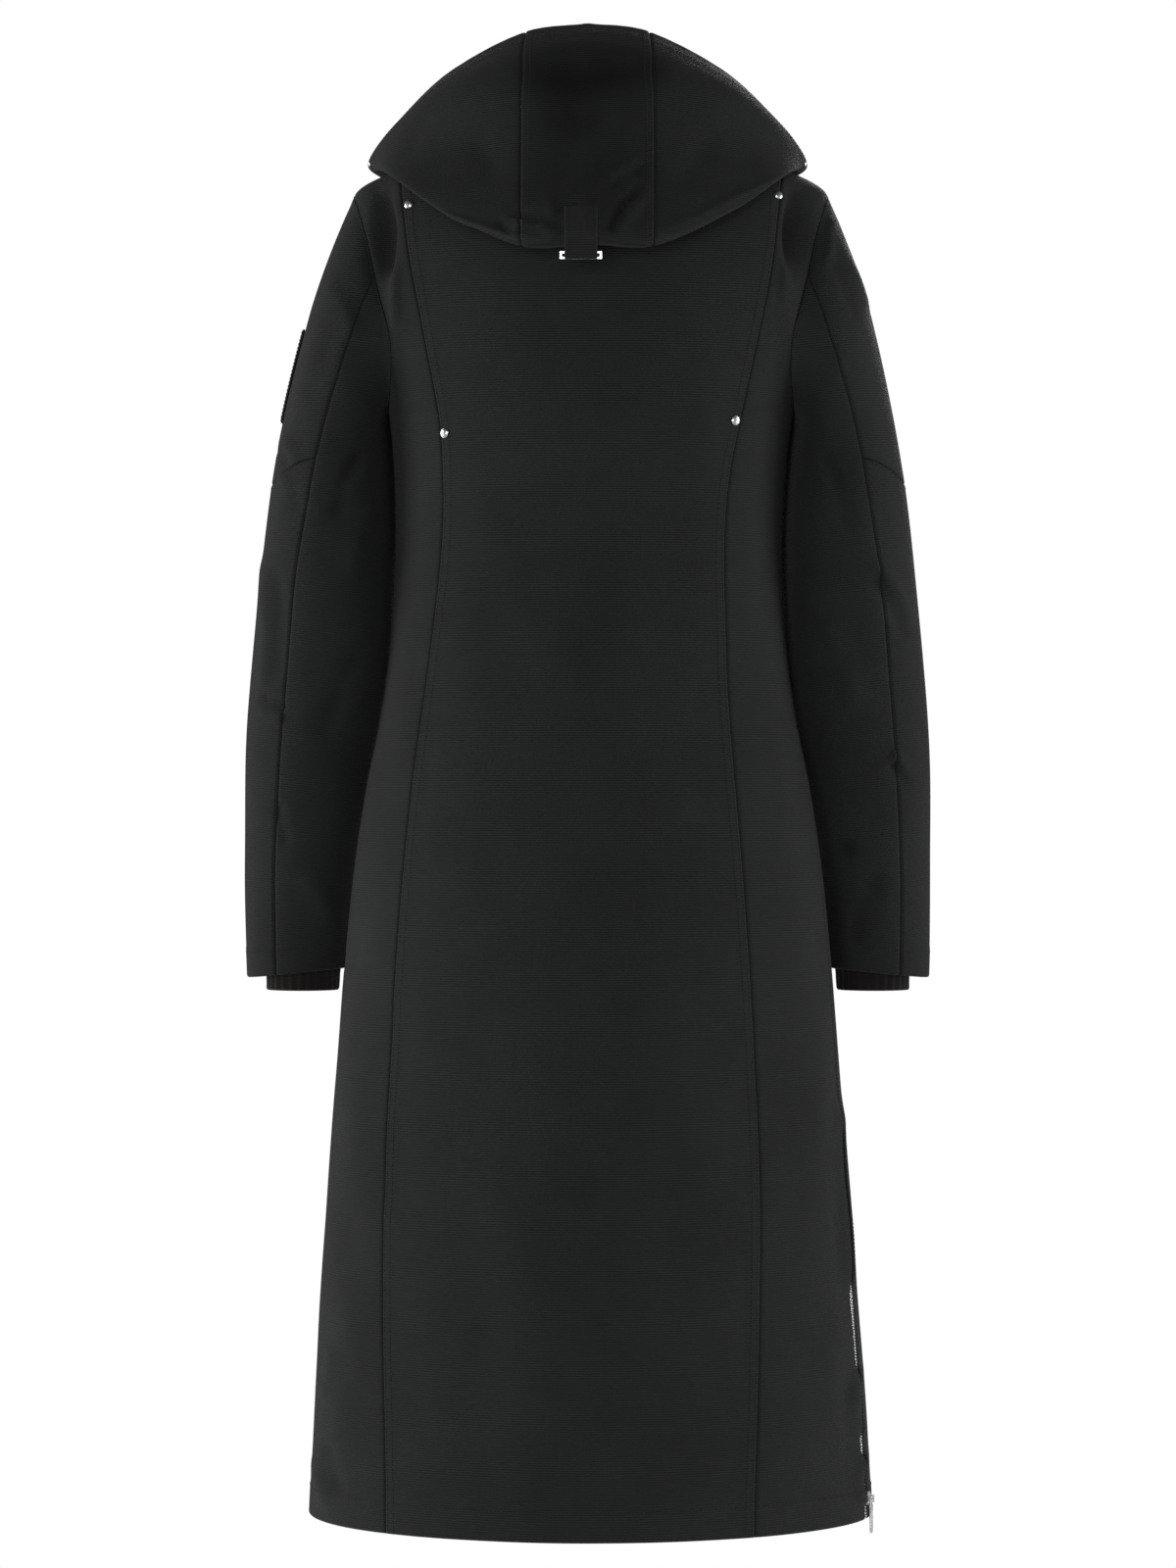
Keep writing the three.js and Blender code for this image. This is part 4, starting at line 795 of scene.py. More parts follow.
def crease_height(x, z, crease):
    """A crease over a line of places. It fades to its ends and varies in depth."""
    line = np.array(crease["line"], float)
    steps = np.linalg.norm(np.diff(line, axis=0), axis=1)
    ends = np.concatenate([[0], np.cumsum(steps)])
    nearest = np.full(x.shape, np.inf)
    share = np.zeros(x.shape)
    for i, step in enumerate(steps):
        way = (line[i + 1] - line[i]) / step
        t = np.clip((x - line[i, 0]) * way[0] + (z - line[i, 1]) * way[1], 0, step)
        away = np.hypot(x - line[i, 0] - way[0] * t, z - line[i, 1] - way[1] * t)
        closer = away < nearest
        nearest = np.where(closer, away, nearest)
        share = np.where(closer, (ends[i] + t) / ends[-1], share)
    fade = smooth_step(0, CREASE["fade"], share) * smooth_step(1, 1 - CREASE["fade"], share)
    uneven = 1 + CREASE["uneven"] * np.sin(share * CREASE["swells"] + line[0, 0])
    return crease["height"] * uneven * fade * np.exp(-(nearest / crease["width"]) ** 2)


def relief(points, normals, hood):
    """Soft unevenness, creases, dents and swellings, as a height over the plain form."""
    x, y, z = points[..., 0], points[..., 1], points[..., 2]
    height = np.zeros(x.shape)
    for wave in WAVES:
        across = np.sin(x / wave["x"] + z / wave["xz"] + wave["start"])
        height += wave["height"] * across * np.sin(y / wave["y"] + z / wave["yz"])
    behind = smooth_step(-0.25, 0.2, normals[..., 1])
    for group, shown in (("hood", behind), ("back", behind), ("front", 1 - behind)):
        if hood != (group == "hood"):
            continue
        for crease in CREASES[group]:
            height += crease_height(x, z, crease) * shown
        for dent in DENTS[group]:
            across = ((x - dent["x"]) / dent["reach_x"]) ** 2 + ((z - dent["z"]) / dent["reach_z"]) ** 2
            height += dent["height"] * np.exp(-across) * shown
    return height


def calm(name, points, normals, seams):
    """The share of the relief that stays: none under the arm, and little beside an armhole or neck seam."""
    share = np.ones(points.shape[:2])
    z = points[..., 2]
    if "under" in name or "side" in name or name.startswith("front"):
        facing = smooth_step(*CALM["facing"], np.abs(normals[..., 0]))
        share *= 1 - facing * smooth_step(*CALM["low"], z) * smooth_step(*CALM["high"], z)
    for edge, (away, _) in edge_distances(points).items():
        if seams.get(edge) == "joined":
            beside = smooth_step(0, CALM["seam"], away)
            on_body = not name.startswith(("sleeve", "hood"))
            share *= np.where(z > ARMPIT - CALM["under_armpit"], beside, 1) if on_body else beside
    return share


def edge_distances(points):
    """How far each place of a grid lies from each edge, and how far along that edge."""
    across, up = arc_lengths(points, 1), arc_lengths(points, 0)
    return {
        "left": (across, up), "right": (across[:, -1:] - across, up),
        "bottom": (up, across), "top": (up[-1:] - up, across),
    }


def seam_relief(points, seams):
    """Seams sink a little, and the cloth beside a sewn seam is raised by its allowance and puckers."""
    height = np.zeros(points.shape[:2])
    for edge, (away, beside) in edge_distances(points).items():
        kind = seams.get(edge, "plain")
        if kind == "joined":
            height -= SINK[kind] * np.exp(-(away / JOINED_REACH) ** 2)
            continue
        height -= SINK[kind] * np.exp(-(away / SINK_REACH) ** 2)
        if kind in RAISE:
            height += RAISE[kind] * smooth_step(*ALLOWANCE, away)
        if kind == "hem":
            height += TURN_UP["rise"] * smooth_step(*TURN_UP["reach"], away)
        pucker = np.sin(beside / PUCKER["length"] + PUCKER["drifts"] * np.sin(beside / PUCKER["drift"]))
        pucker = pucker * (1 - PUCKER["varies"] + PUCKER["varies"] * np.sin(beside / PUCKER["swell"]))
        height += PUCKER["height"] * pucker * np.exp(-((away - PUCKER["away"]) / PUCKER["reach"]) ** 2)
    return height


# Panels

def body_rows():
    low = np.arange(HEM, ARMPIT, ROW_STEP)
    beside = along(ARMHOLE, np.linspace(180, 0, ROWS["armhole"]), "z")
    high = np.linspace(SHOULDER_TIP, 0, ROWS["shoulder"])[1:]
    return np.concatenate([low, beside, high])


def centre_edge(side, z):
    """The centre panel's edge: the long seam, then round the shoulder to its peak."""
    share = np.clip((SEAM_END - z) / (SEAM_END - SEAM_TOP), 0, 1)
    return back_seam_angle(side, np.minimum(z, SEAM_TOP)) * share


def back_centre(material):
    z = body_rows()[:, None]
    part = np.linspace(0, 1, COLUMNS["back_centre"])[None, :]
    left = centre_edge(1, z)
    right = 180 - centre_edge(-1, z)
    angle = left + (right - left) * part
    rise = NAPE_RISE * np.sin(np.radians(angle)) ** 2 * smooth_step(NAPE_RISE_FROM, 0, z)
    seams = {"left": "sewn", "right": "sewn", "bottom": "hem", "top": "joined"}
    cloth_panel("back_centre", torso_point(1, angle, z, z + rise), 1, material, seams=seams)


def back_side(side, word, material):
    rows = body_rows()
    z = rows[rows <= SIDE_TIP][:, None]
    part = np.linspace(0, 1, COLUMNS["back_side"])[None, :]
    edge = side_edge_angle(side, z, 1)
    inner = np.maximum(centre_edge(side, z), edge + SIDE_ANGLE_LEFT)
    points = torso_point(side, edge + (inner - edge) * part, z)
    seams = {"bottom": "hem", "left": "joined"}
    cloth_panel(f"back_side_{word}", points, side, material, seams=seams)


def front(side, word, material):
    z = body_rows()[:, None]
    part = np.linspace(0, 1, COLUMNS["front"])[None, :]
    edge = side_edge_angle(side, z, -1)
    centre = -angle_of_x(centre_x(side, z) + ZIP_HALF_SPACE, z)
    angle = edge + (centre - edge) * part
    height = z - NECK_DROP * part ** NECK_DROP_POWER * smooth_step(NECK_DROP_FROM, 0, z)
    seams = {"bottom": "hem", "right": "sewn", "left": "joined", "top": "joined"}
    points = torso_point(side, angle, z, height)
    cloth_panel(f"front_{word}", points, -side, material, seams=seams)


def sleeve_panels(side, word, material):
    turns = np.linspace(-SLEEVE_SEAM_TURN, SLEEVE_SEAM_TURN, COLUMNS["sleeve_outer"])[None, :]
    elbow = elbow_at(turns)
    inside = np.linspace(SLEEVE_SEAM_TURN, 360 - SLEEVE_SEAM_TURN, COLUMNS["sleeve_under"])[None, :]
    for part, turns, start, end, seams in (
        ("upper", turns, 0, elbow, {"bottom": "joined"}),
        ("lower", turns, elbow, 1, {"top": "hem"}),
        ("under", inside, 0, 1, {"top": "hem", "bottom": "joined"}),
    ):
        share = np.linspace(0, 1, ROWS[f"sleeve_{part}"])[:, None]
        place = start + share * (end - start) + 0 * turns
        points = sleeve_point(side, seam_turn(turns, place), place)
        cloth_panel(f"sleeve_{part}_{word}", points, -side, material, seams=seams)


def hood_panels(material):
    v = np.linspace(0, 1, ROWS["hood"])[:, None]
    turns = np.linspace(-HOOD_SEAM_TURN, HOOD_SEAM_TURN, COLUMNS["hood_centre"])[None, :]
    seams = {"left": "soft", "right": "soft", "bottom": "hem", "top": "joined"}
    cloth_panel("hood_centre", hood_point(1, turns, v), 1, material, seams=seams)
    steps = np.arange(len(HOOD_SIDE_TURNS))
    turns = np.interp(np.linspace(0, steps[-1], COLUMNS["hood_side"]), steps, HOOD_SIDE_TURNS)[None, :]
    seams = {"bottom": "hem", "top": "joined"}
    for word, side in SIDES.items():
        points = hood_point(side, turns, v)
        cloth_panel(f"hood_side_{word}", points, side, material, seams=seams)


def tape_panel(name, points, facing, material):
    normals = grid_normals(points, facing)
    points = points - normals * (WALL + TAPE_BELOW)
    cloth_panel(name, points, facing, material, wall=TAPE_WALL, creased=False)


def zip_tapes(material):
    offsets = np.linspace(-TAPE_HALF, TAPE_HALF, COLUMNS["tape"])[None, :]
    z = np.linspace(HEM, SIDE_ZIP_TOP, ROWS["side_tape"])[:, None]
    for word, side in SIDES.items():
        points = torso_point(side, angle_of_y(side_y(side, z) + offsets, z), z)
        tape_panel(f"side_zip_tape_{word}", points, side, material)
    z = body_rows()[:, None]
    x = centre_x(1, z) + offsets
    points = torso_point(1, -angle_of_x(x, z), z, z - NECK_DROP * smooth_step(NECK_DROP_FROM, 0, z))
    tape_panel("front_zip_tape", points, 1, material)
    v = np.linspace(*THROAT_TAPE, ROWS["throat"])[:, None]
    edge = hood_point(1, THROAT_TURN, v)
    beside = hood_point(1, THROAT_BESIDE_TURN, v)
    part = (np.abs(offsets) - edge[..., 0]) / (beside[..., 0] - edge[..., 0])
    points = edge + (beside - edge) * part[..., None]
    points[..., 0] = offsets
    tape_panel("hood_zip_tape", points, -1, material)


def armhole_strip(side, word, material):
    """The seam allowance inside an armhole, a strip under the body's edge and the sleeve's."""
    turn = np.linspace(-180, 180, STRIP["points"], endpoint=False)
    size = np.abs(turn)
    angle = np.where(turn < 0, -1, 1) * along(ARMHOLE, size, "angle")
    seam = torso_point(side, angle, along(ARMHOLE, size, "z"))
    x, y, z = STRIP["middle"]
    inwards = unit(points_of(side * x, y, z) - seam)
    on_sleeve = sleeve_point(side, turn, np.full_like(turn, STRIP["on_sleeve"]))
    on_body = seam - points_of(side * STRIP["under_body"], 0, 0)
    outer = np.stack([
        on_body + inwards * STRIP["edge_deep"], seam + inwards * STRIP["deep"],
        on_sleeve + inwards * STRIP["edge_deep"],
    ])
    inner = outer + inwards * TAPE_WALL
    piece = add_wall(f"armhole_strip_{word}", outer, inner, material, ring=True)
    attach(piece, "garment")


# Cuffs, tab and patch

def rib_cuff(side, word, material):
    """A knitted tube from inside the sleeve, narrowing to its ribs below the sleeve's edge."""
    columns = CUFF["ribs"] * CUFF["steps"]
    turn = np.linspace(-180, 180, columns, endpoint=False)
    raised = CUFF["rib"] * (0.5 - 0.5 * np.cos(np.arange(columns) * 2 * math.pi / CUFF["steps"]))[:, None]
    round_way = points_of(side * np.cos(np.radians(turn)), np.sin(np.radians(turn)), 0)
    rings, inners = [], []
    for place, reach, drop in ((CUFF["from"], None, 0), (CUFF["narrow"], CUFF["radius"] + 3, 0),
                               (1, CUFF["radius"], 2), (1, CUFF["radius"] - 0.5, CUFF["reach"])):
        on_sleeve = sleeve_point(side, turn, np.full_like(turn, place))
        middle = (sleeve_section(side, 90, np.array(place)) + sleeve_section(side, -90, np.array(place))) / 2
        middle = middle - np.array([0, 0, drop])
        if reach is None:
            outward = unit(on_sleeve - points_of(middle[0], middle[1], on_sleeve[:, 2]))
            rings.append(on_sleeve - outward * (WALL + CUFF["clear"]))
            inners.append(rings[-1] - outward * CUFF["wall"])
        else:
            rings.append(middle + round_way * reach)
            inners.append(middle + round_way * (reach - CUFF["wall"]))
    rows = np.linspace(0, len(rings) - 1, CUFF["rows"])
    low = np.minimum(rows.astype(int), len(rings) - 2)
    part = (rows - low)[:, None, None]
    rings, inners = np.stack(rings), np.stack(inners)
    outer = rings[low] * (1 - part) + rings[low + 1] * part
    inner = inners[low] * (1 - part) + inners[low + 1] * part
    grown = smooth_step(0, 1, rows)[:, None, None] * (1 - 0.8 * (rows > 2.95))[:, None, None]
    wave = CUFF["wave"] * np.sin(turn / 19 + rows[:, None] * 2)[..., None]
    outer = outer + round_way * (raised * grown + wave * grown)
    piece = add_wall(f"rib_cuff_{word}.knit", outer, inner, material, ring=True)
    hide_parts(f"rib_cuff_{word}")
    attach(piece, "garment")


def hood_at_height(x, z):
    """The places on the hood's outer side at given heights, found by halving between rim and foot."""
    high = np.full(np.shape(z), 0.1)
    low = np.full(np.shape(z), 0.5)
    for _ in range(24):
        level = (high + low) / 2
        turn = x / hood_point(1, HOOD_SEAM_TURN, level)[..., 0] * HOOD_SEAM_TURN
        above = hood_point(1, turn, level)[..., 2] > z
        high = np.where(above, level, high)
        low = np.where(above, low, level)
    return turn, high


def hood_tab(material):
    """The tab lies on the hood, then hangs free, and is flat at its foot."""
    z = np.linspace(TAB["top"], TAB["foot"], ROWS["tab"])[:, None]
    offset = np.linspace(-TAB["half"], TAB["half"], COLUMNS["tab"])[None, :]
    z, offset = np.broadcast_arrays(z, offset)
    turn, v = hood_at_height(TAB["x"] + offset, np.maximum(z, TAB["free"]))
    place = hood_point(1, turn, v)
    along_turn = hood_point(1, turn + 0.5, v) - hood_point(1, turn - 0.5, v)
    along_v = hood_point(1, turn, v + 0.008) - hood_point(1, turn, v - 0.008)
    normal = unit(np.cross(along_turn, along_v))
    level = smooth_step(TAB["top"], TAB["free"], z)[..., None]
    normal = unit(normal * (1 - level) + np.array([0, 1, 0]) * level)
    place = place + normal * (TAB["lift"] + TAB["wall"])
    place[..., 2] = z
    column = COLUMNS["tab"] // 2
    middle = (place[:, column - 1, 1] + place[:, column, 1])[:, None] / 2
    flat = smooth_step(TAB["free"], TAB["free"] - TAB["flat_over"], z)
    place[..., 1] = place[..., 1] * (1 - flat) + middle * flat
    cloth_panel("hood_tab", place, 1, material, wall=TAB["wall"], creased=False)


def sleeve_patch(material):
    place = np.linspace(PATCH["from"], PATCH["to"], ROWS["patch"])[:, None]
    turn = np.linspace(PATCH["turn_front"], PATCH["turn_back"], COLUMNS["patch"])[None, :]
    place, turn = np.broadcast_arrays(place, turn)
    points = sleeve_point(1, turn, place)
    points = points + grid_normals(points, -1) * (PATCH["wall"] + PATCH["lift"])
    cloth_panel("sleeve_patch_left", points, -1, material,
                wall=PATCH["wall"], creased=False)


# Stitches, zip teeth and metal

def copies_on(name, shape, faces, places, ways, normals, material):
    """One mesh of many small copies of a shape, whose X runs along the way and Z out of the cloth."""
    sides = unit(np.cross(normals, ways))
    points = (
        places[:, None] + shape[None, :, :1] * ways[:, None]
        + shape[None, :, 1:2] * sides[:, None] + shape[None, :, 2:] * normals[:, None]
    )
    offsets = np.arange(len(places))[:, None, None] * len(shape)
    faces = (faces[None] + offsets).reshape(-1, faces.shape[1])
    piece = add_mesh(name, points.reshape(-1, 3), faces, material)
    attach(piece, "garment")
    return piece


def band_faces(bands, sides):
    """Faces of a tube between rings of as many points as it has sides."""
    faces = []
    for low in range(0, bands * sides, sides):
        high = low + sides
        for i in range(sides):
            j = (i + 1) % sides
            faces.append((low + i, low + j, high + j, high + i))
    return faces


def stitch_shape():
    """A short thread that dives into the cloth at both ends."""
    sides = STITCH["sides"]
    ring = np.radians(np.arange(sides) * 360 / sides)
    half, radius = STITCH["long"] / 2, STITCH["radius"]
    shape = []
    for x, size, up in ((-1, 0.4, -0.9), (-0.72, 1, 0.15), (0.72, 1, 0.15), (1, 0.4, -0.9)):
        shape += [(x * half, math.cos(a) * size * radius, (math.sin(a) * size + up) * radius) for a in ring]
    return np.array(shape), np.array(band_faces(3, sides))


def line_beside(panel, edge, distance):
    """The line of places on a panel at a distance from one edge, with the normals there."""
    points, normals = panel["points"], panel["normals"]
    away, _ = edge_distances(points)[edge]
    if edge in ("bottom", "top"):
        points, normals, away = points.swapaxes(0, 1), normals.swapaxes(0, 1), away.T
    if edge in ("right", "top"):
        points, normals, away = points[:, ::-1], normals[:, ::-1], away[:, ::-1]
    places, ups = [], []
    for row, up, far in zip(points, normals, away):
        places.append([np.interp(distance, far, row[:, i]) for i in range(3)])
        ups.append([np.interp(distance, far, up[:, i]) for i in range(3)])
    return np.array(places), unit(np.array(ups))


def spaced(places, normals, pitch, start=0.0, end=1.0):
    """Places at an even pitch along a line, with their directions and normals."""
    lengths = np.concatenate([[0], np.cumsum(np.linalg.norm(np.diff(places, axis=0), axis=1))])
    total = lengths[-1]
    at = np.arange(total * start + pitch, total * end - pitch, pitch)
    middle = np.stack([np.interp(at, lengths, places[:, i]) for i in range(3)], axis=-1)
    ahead = np.stack([np.interp(at + 1, lengths, places[:, i]) for i in range(3)], axis=-1)
    back = np.stack([np.interp(at - 1, lengths, places[:, i]) for i in range(3)], axis=-1)
    up = unit(np.stack([np.interp(at, lengths, normals[:, i]) for i in range(3)], axis=-1))
    way = unit(ahead - back)
    up = unit(up - way * np.sum(up * way, axis=-1, keepdims=True))
    return middle, way, up


def stitches(material):
    shape, faces = stitch_shape()
    for name, rows in STITCH_ROWS.items():
        found = []
        for panel, edge, distance, start, end in rows:
            places, normals = line_beside(PANELS[panel], edge, distance)
            found.append(spaced(places, normals, STITCH["pitch"], start, end))
        places, ways, ups = (np.concatenate([line[i] for line in found]) for i in range(3))
        copies_on(f"stitches.{name}", shape, faces, places, ways, ups, material)


def tooth_shape():
    """An oval tooth with eight sides, a chamfered top and an open foot."""
    sides = TOOTH["sides"]
    half_long, half_wide, high = TOOTH["half_long"], TOOTH["half_wide"], TOOTH["high"]
    ring = np.radians((np.arange(sides) + 0.5) * 360 / sides)
    shape = []
    for size, up in ((1, 0), (1, 0.88), (0.72, 1)):
        shape += [(math.cos(a) * half_long * size, math.sin(a) * half_wide * size, up * high) for a in ring]
    top = 2 * sides
    faces = band_faces(2, sides)
    faces += [[top + i for i in corners] for corners in ((0, 1, 2, 3), (0, 3, 4, 7), (4, 5, 6, 7))]
    return np.array(shape), np.array(faces)


def zip_teeth(material):
    shape, faces = tooth_shape()
    for name in ("side_zip_tape_left", "side_zip_tape_right", "front_zip_tape", "hood_zip_tape"):
        panel = PANELS[name]
        middle = panel["points"].shape[1] // 2
        places, ways, ups = spaced(panel["points"][:, middle], panel["normals"][:, middle], TOOTH["pitch"])
        turns = np.where(np.arange(len(places)) % 2 == 0, 1, -1)[:, None]
        places = places + np.cross(ups, ways) * turns * TOOTH["aside"]
        copies_on(f"{name}.teeth", shape, faces, places, ways, ups, material)


def lathe(name, node, profile, place, normal, lift, material):
    """A round piece from a profile of (out, up) places."""
    ring = np.radians(np.arange(LATHE_SIDES) * 360 / LATHE_SIDES)
    across = unit(np.cross(normal, np.array([0.0, 0.0, 1.0])))
    other = np.cross(normal, across)
    rows = []
    for out, up in profile:
        circle = np.cos(ring)[:, None] * across + np.sin(ring)[:, None] * other
        rows.append(place + circle * out + normal * (up + lift))
    points = np.concatenate(rows)
    faces = np.array(band_faces(len(profile) - 1, LATHE_SIDES))
    if volume_of(points - place, faces) < 0:
        faces = faces[:, ::-1]
    piece = add_mesh(name, points, faces, material)
    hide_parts(node)
    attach(piece, "garment")


def stud_profile(radius, height):
    """A domed head over a rolled rim, closed underneath."""
    rim = [(0.02, 0), (0.9, 0), (0.98, 0.08), (1, 0.2), (0.97, 0.33), (0.9, 0.38), (0.85, 0.4)]
    dome = [(0.85 * math.cos(a), 0.4 + 0.6 * math.sin(a)) for a in np.radians(np.arange(10, 90, 10))]
    return [(out * radius, up * height) for out, up in rim + dome + [(0.01, 1)]]


def studs(material):
    for name, x, z in RIVETS:
        side = 1 if x > 0 else -1
        angle = angle_of_x(abs(x), z)
        around = torso_point(side, angle + np.array([[-1, 0, 1]]), z + np.array([[-1.0], [0.0], [1.0]]))
        normal = grid_normals(around, side)[1, 1]
        height = relief(around, grid_normals(around, side), False)[1, 1] + RIVET["lift"]
        place = around[1, 1] + normal * height
        profile = stud_profile(RIVET["radius"], RIVET["height"])
        lathe(f"{name}.head", name, profile, place, normal, 0, material)
    for word, side in SIDES.items():
        turn = TIP_STUD["turn"] + np.array([[-1, 0, 1]])
        around = hood_point(side, turn, TIP_STUD["down"] + np.array([[-0.01], [0], [0.01]]))
        normal = grid_normals(around, side)[1, 1]
        profile = stud_profile(TIP_STUD["radius"], TIP_STUD["height"])
        name = f"hood_tip_stud_{word}"
        lathe(f"{name}.head", name, profile, around[1, 1], normal, TIP_STUD["lift"], material)


def keep_metal(node, material, bevel):
    """A metal piece of the frame keeps its form, with its edges rounded."""
    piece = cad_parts[node]
    for slot in piece.material_slots:
        slot.link = "OBJECT"
        slot.material = material
    weld = piece.modifiers.new("weld", "WELD")
    weld.merge_threshold = WELD_REACH * MM
    rounding = piece.modifiers.new("rounding", "BEVEL")
    rounding.width = bevel * MM
    rounding.segments = 3
    rounding.limit_method = "ANGLE"
    rounding.angle_limit = math.radians(30)


# Materials

def new_material(name):
    material = bpy.data.materials.new(name)
    material.use_nodes = True
    return material, material.node_tree.nodes, material.node_tree.links


def value_of(nodes, links, operation, *inputs):
    node = nodes.new("ShaderNodeMath")
    node.operation = operation
    for i, value in enumerate(inputs):
        if isinstance(value, (int, float)):
            node.inputs[i].default_value = value
        else:
            links.new(value, node.inputs[i])
    return node.outputs[0]


def noise(nodes, links, place, scale, detail):
    node = nodes.new("ShaderNodeTexNoise")
    node.inputs["Scale"].default_value = scale
    node.inputs["Detail"].default_value = detail
    links.new(place, node.inputs["Vector"])
    return node.outputs["Fac"]


def new_group(name, inputs, outputs):
    """A node group with an input for coordinates, and inputs and outputs for numbers."""
    group = bpy.data.node_groups.new(name, "ShaderNodeTree")
    group.interface.new_socket("Coordinates", in_out="INPUT", socket_type="NodeSocketVector")
    for way, sockets in (("INPUT", inputs), ("OUTPUT", outputs)):
        for socket in sockets:
            group.interface.new_socket(socket, in_out=way, socket_type="NodeSocketFloat")
    return group, group.nodes.new("NodeGroupInput"), group.nodes.new("NodeGroupOutput")


def add_group(nodes, links, group, place):
    node = nodes.new("ShaderNodeGroup")
    node.node_tree = group
    links.new(place, node.inputs["Coordinates"])
    return node


def weave_group():
    """Fine horizontal ribs crossed by finer threads. The coordinates are metres on the cloth."""
    group, inside, outside = new_group("rib weave", ("Rib", "Thread"), ("Height", "Shade"))
    nodes, links = group.nodes, group.links
    split = nodes.new("ShaderNodeSeparateXYZ")
    links.new(inside.outputs["Coordinates"], split.inputs[0])
    slub = noise(nodes, links, inside.outputs["Coordinates"], *SLUB["noise"])
    jitter = value_of(nodes, links, "MULTIPLY", slub, SLUB["shift"])
    rows = value_of(nodes, links, "DIVIDE", split.outputs["Y"], inside.outputs["Rib"])
    rows = value_of(nodes, links, "MULTIPLY_ADD", rows, 2 * math.pi, jitter)
    wave = value_of(nodes, links, "SINE", value_of(nodes, links, "MULTIPLY", rows, 0.5))
    ribs = value_of(nodes, links, "ABSOLUTE", wave)
    columns = value_of(nodes, links, "DIVIDE", split.outputs["X"], inside.outputs["Thread"])
    columns = value_of(nodes, links, "MULTIPLY_ADD", columns, 2 * math.pi, rows)
    threads = value_of(nodes, links, "SINE", columns)
    height = value_of(nodes, links, "MULTIPLY_ADD", threads, THREAD_HEIGHT, ribs)
    height = value_of(nodes, links, "MULTIPLY_ADD", slub, SLUB["height"], height)
    links.new(height, outside.inputs["Height"])
    links.new(value_of(nodes, links, "MULTIPLY_ADD", height, *WEAVE_SHADE), outside.inputs["Shade"])
    return group


def wear_group():
    """Broad soft changes of colour, as cloth has from folding and handling."""
    group, inside, outside = new_group("soft wear", (), ("Shade",))
    nodes, links = group.nodes, group.links
    broad = noise(nodes, links, inside.outputs["Coordinates"], *WEAR_NOISE["broad"])
    fine = noise(nodes, links, inside.outputs["Coordinates"], *WEAR_NOISE["fine"])
    both = value_of(nodes, links, "MULTIPLY_ADD", fine, FINE_SHARE, broad)
    links.new(value_of(nodes, links, "MULTIPLY_ADD", both, *WEAR_SHADE), outside.inputs["Shade"])
    return group


def cloth_material(name, colour, roughness, sheen, rib, thread, bump, toned):
    """Woven cloth. Its colour follows the weave, the wear and, where it is painted so, the painted shade and
    highlight of the folds.
    """
    material, nodes, links = new_material(name)
    shader = nodes["Principled BSDF"]
    shader.inputs["Roughness"].default_value = roughness
    shader.inputs["Specular IOR Level"].default_value = CLOTH_SPECULAR
    shader.inputs["Sheen Weight"].default_value = sheen
    shader.inputs["Sheen Roughness"].default_value = CLOTH_SHEEN_ROUGHNESS
    place = nodes.new("ShaderNodeUVMap")
    place.uv_map = "cloth"
    weave = add_group(nodes, links, WEAVE, place.outputs["UV"])
    weave.inputs["Rib"].default_value = rib * MM
    weave.inputs["Thread"].default_value = thread * MM
    body = nodes.new("ShaderNodeTexCoord")
    wear = add_group(nodes, links, WEAR, body.outputs["Object"])
    # Painted shade in troughs and hollows and painted highlight on ridges, read from the points' attribute
    painted_shading = nodes.new("ShaderNodeAttribute")
    painted_shading.attribute_name = "painted_shading"
    shade = value_of(nodes, links, "MULTIPLY", weave.outputs["Shade"], wear.outputs["Shade"])
    if toned:
        shade = value_of(nodes, links, "MULTIPLY", shade, painted_shading.outputs["Fac"])
    tint = nodes.new("ShaderNodeVectorMath")
    tint.operation = "SCALE"
    tint.inputs[0].default_value = colour
    links.new(shade, tint.inputs["Scale"])
    links.new(tint.outputs["Vector"], shader.inputs["Base Color"])
    ribbed = nodes.new("ShaderNodeBump")
    ribbed.inputs["Strength"].default_value = bump
    ribbed.inputs["Distance"].default_value = WEAVE_DEPTH * MM
    links.new(weave.outputs["Height"], ribbed.inputs["Height"])
    links.new(ribbed.outputs["Normal"], shader.inputs["Normal"])
    return material


def metal_material(name, colour, roughness):
    material, nodes, links = new_material(name)
    shader = nodes["Principled BSDF"]
    shader.inputs["Metallic"].default_value = 1
    shader.inputs["Base Color"].default_value = (*colour, 1)
    body = nodes.new("ShaderNodeTexCoord")
    rub = noise(nodes, links, body.outputs["Object"], *RUB_NOISE)
    rubbed = value_of(nodes, links, "MULTIPLY_ADD", rub, RUB_RANGE, roughness - RUB_RANGE / 2)
    links.new(rubbed, shader.inputs["Roughness"])
    return material


# Camera, light and floor

def add_camera():
    data = bpy.data.cameras.new("camera")
    data.lens = CAMERA_LENS
    data.sensor_width = 36
    data.clip_end = 50
    camera = bpy.data.objects.new("camera", data)
    camera.location = [value * MM for value in CAMERA_PLACE]
    camera.rotation_euler = (math.radians(90), 0, math.radians(180))
    bpy.context.scene.collection.objects.link(camera)
    bpy.context.scene.camera = camera


def area_light(name, place, target, size, power):
    data = bpy.data.lights.new(name, "AREA")
    data.shape = "RECTANGLE"
    data.size, data.size_y = size
    data.energy = power
    lamp = bpy.data.objects.new(name, data)
    lamp.location = place
    lamp.rotation_euler = (Vector(target) - Vector(place)).to_track_quat("-Z", "Y").to_euler()
    bpy.context.scene.collection.objects.link(lamp)


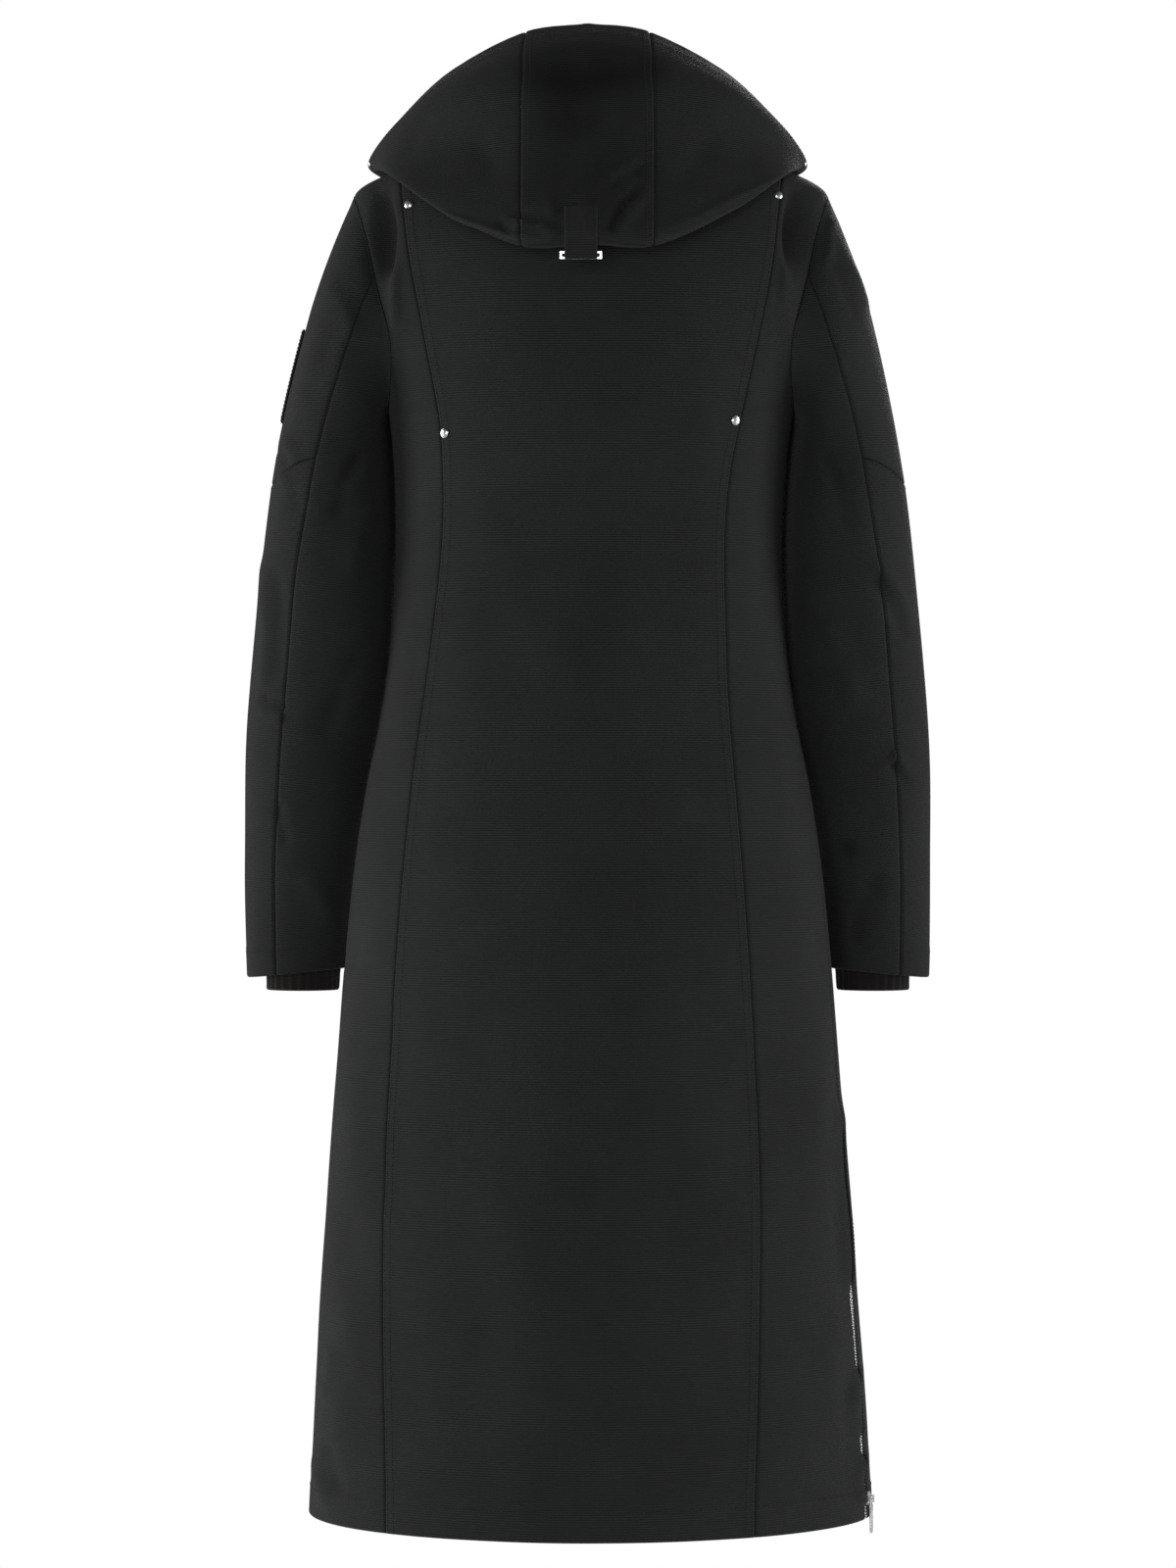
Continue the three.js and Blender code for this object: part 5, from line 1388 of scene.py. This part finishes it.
def add_studio():
    ring = np.radians(np.arange(FLOOR_SIDES) * 360 / FLOOR_SIDES)
    rim = points_of(FLOOR_REACH * np.cos(ring), FLOOR_REACH * np.sin(ring), FLOOR_Z)
    points = np.concatenate([[(0, 0, FLOOR_Z)], rim])
    faces = np.array([(0, i + 1, (i + 1) % FLOOR_SIDES + 1) for i in range(FLOOR_SIDES)])
    floor = add_mesh("floor", points, faces, floor_material())
    bpy.context.scene.world = studio_world()
    bpy.context.scene.view_settings.view_transform = "Standard"
    for lamp in LAMPS:
        area_light(**lamp)


def studio_world():
    """A white ground around the piece, which gives less light than it shows."""
    world = bpy.data.worlds.new("studio")
    world.use_nodes = True
    nodes, links = world.node_tree.nodes, world.node_tree.links
    seen = nodes["Background"]
    seen.inputs["Color"].default_value = (1, 1, 1, 1)
    seen.inputs["Strength"].default_value = 1.0
    given = nodes.new("ShaderNodeBackground")
    given.inputs["Color"].default_value = (1, 1, 1, 1)
    place = nodes.new("ShaderNodeTexCoord")
    split = nodes.new("ShaderNodeSeparateXYZ")
    links.new(place.outputs["Generated"], split.inputs[0])
    upward = value_of(nodes, links, "MAXIMUM", split.outputs["Z"], 0.0)
    links.new(value_of(nodes, links, "MULTIPLY_ADD", upward, *GROUND_LIGHT), given.inputs["Strength"])
    path = nodes.new("ShaderNodeLightPath")
    mix = nodes.new("ShaderNodeMixShader")
    links.new(path.outputs["Is Camera Ray"], mix.inputs["Fac"])
    links.new(given.outputs["Background"], mix.inputs[1])
    links.new(seen.outputs["Background"], mix.inputs[2])
    links.new(mix.outputs["Shader"], nodes["World Output"].inputs["Surface"])
    return world


def floor_material():
    """Pale and dull, and it fades out into the white ground."""
    material, nodes, links = new_material("studio floor")
    shader = nodes["Principled BSDF"]
    shader.inputs["Base Color"].default_value = (0.93, 0.93, 0.93, 1)
    shader.inputs["Roughness"].default_value = 0.9
    shader.inputs["Specular IOR Level"].default_value = 0.1
    place = nodes.new("ShaderNodeTexCoord")
    split = nodes.new("ShaderNodeSeparateXYZ")
    links.new(place.outputs["Object"], split.inputs[0])
    square = value_of(nodes, links, "MULTIPLY", split.outputs["X"], split.outputs["X"])
    square = value_of(nodes, links, "MULTIPLY_ADD", split.outputs["Y"], split.outputs["Y"], square)
    reach = value_of(nodes, links, "DIVIDE", square, (FLOOR_REACH * MM) ** 2)
    links.new(value_of(nodes, links, "MULTIPLY_ADD", reach, -1.0, 1.0), shader.inputs["Alpha"])
    return material


WEAVE = weave_group()
WEAR = wear_group()
CLOTH = {row["name"]: cloth_material(**row) for row in CLOTHS}
SHELL = CLOTH["shell cloth"]
TAPE = CLOTH["zip tape"]
SILVER = metal_material("silver metal", (0.78, 0.79, 0.8), 0.28)

add_camera()
add_studio()
back_centre(SHELL)
for make, material in ((back_side, SHELL), (front, SHELL), (sleeve_panels, SHELL), (armhole_strip, TAPE)):
    for word, side in SIDES.items():
        make(side, word, material)
hood_panels(SHELL)
zip_tapes(TAPE)
for word, side in SIDES.items():
    rib_cuff(side, word, CLOTH["rib knit"])
hood_tab(CLOTH["tab cloth"])
sleeve_patch(CLOTH["patch cloth"])
stitches(CLOTH["sewing thread"])
zip_teeth(SILVER)
studs(SILVER)
for node, bevel in ROUNDED.items():
    keep_metal(node, SILVER, bevel)
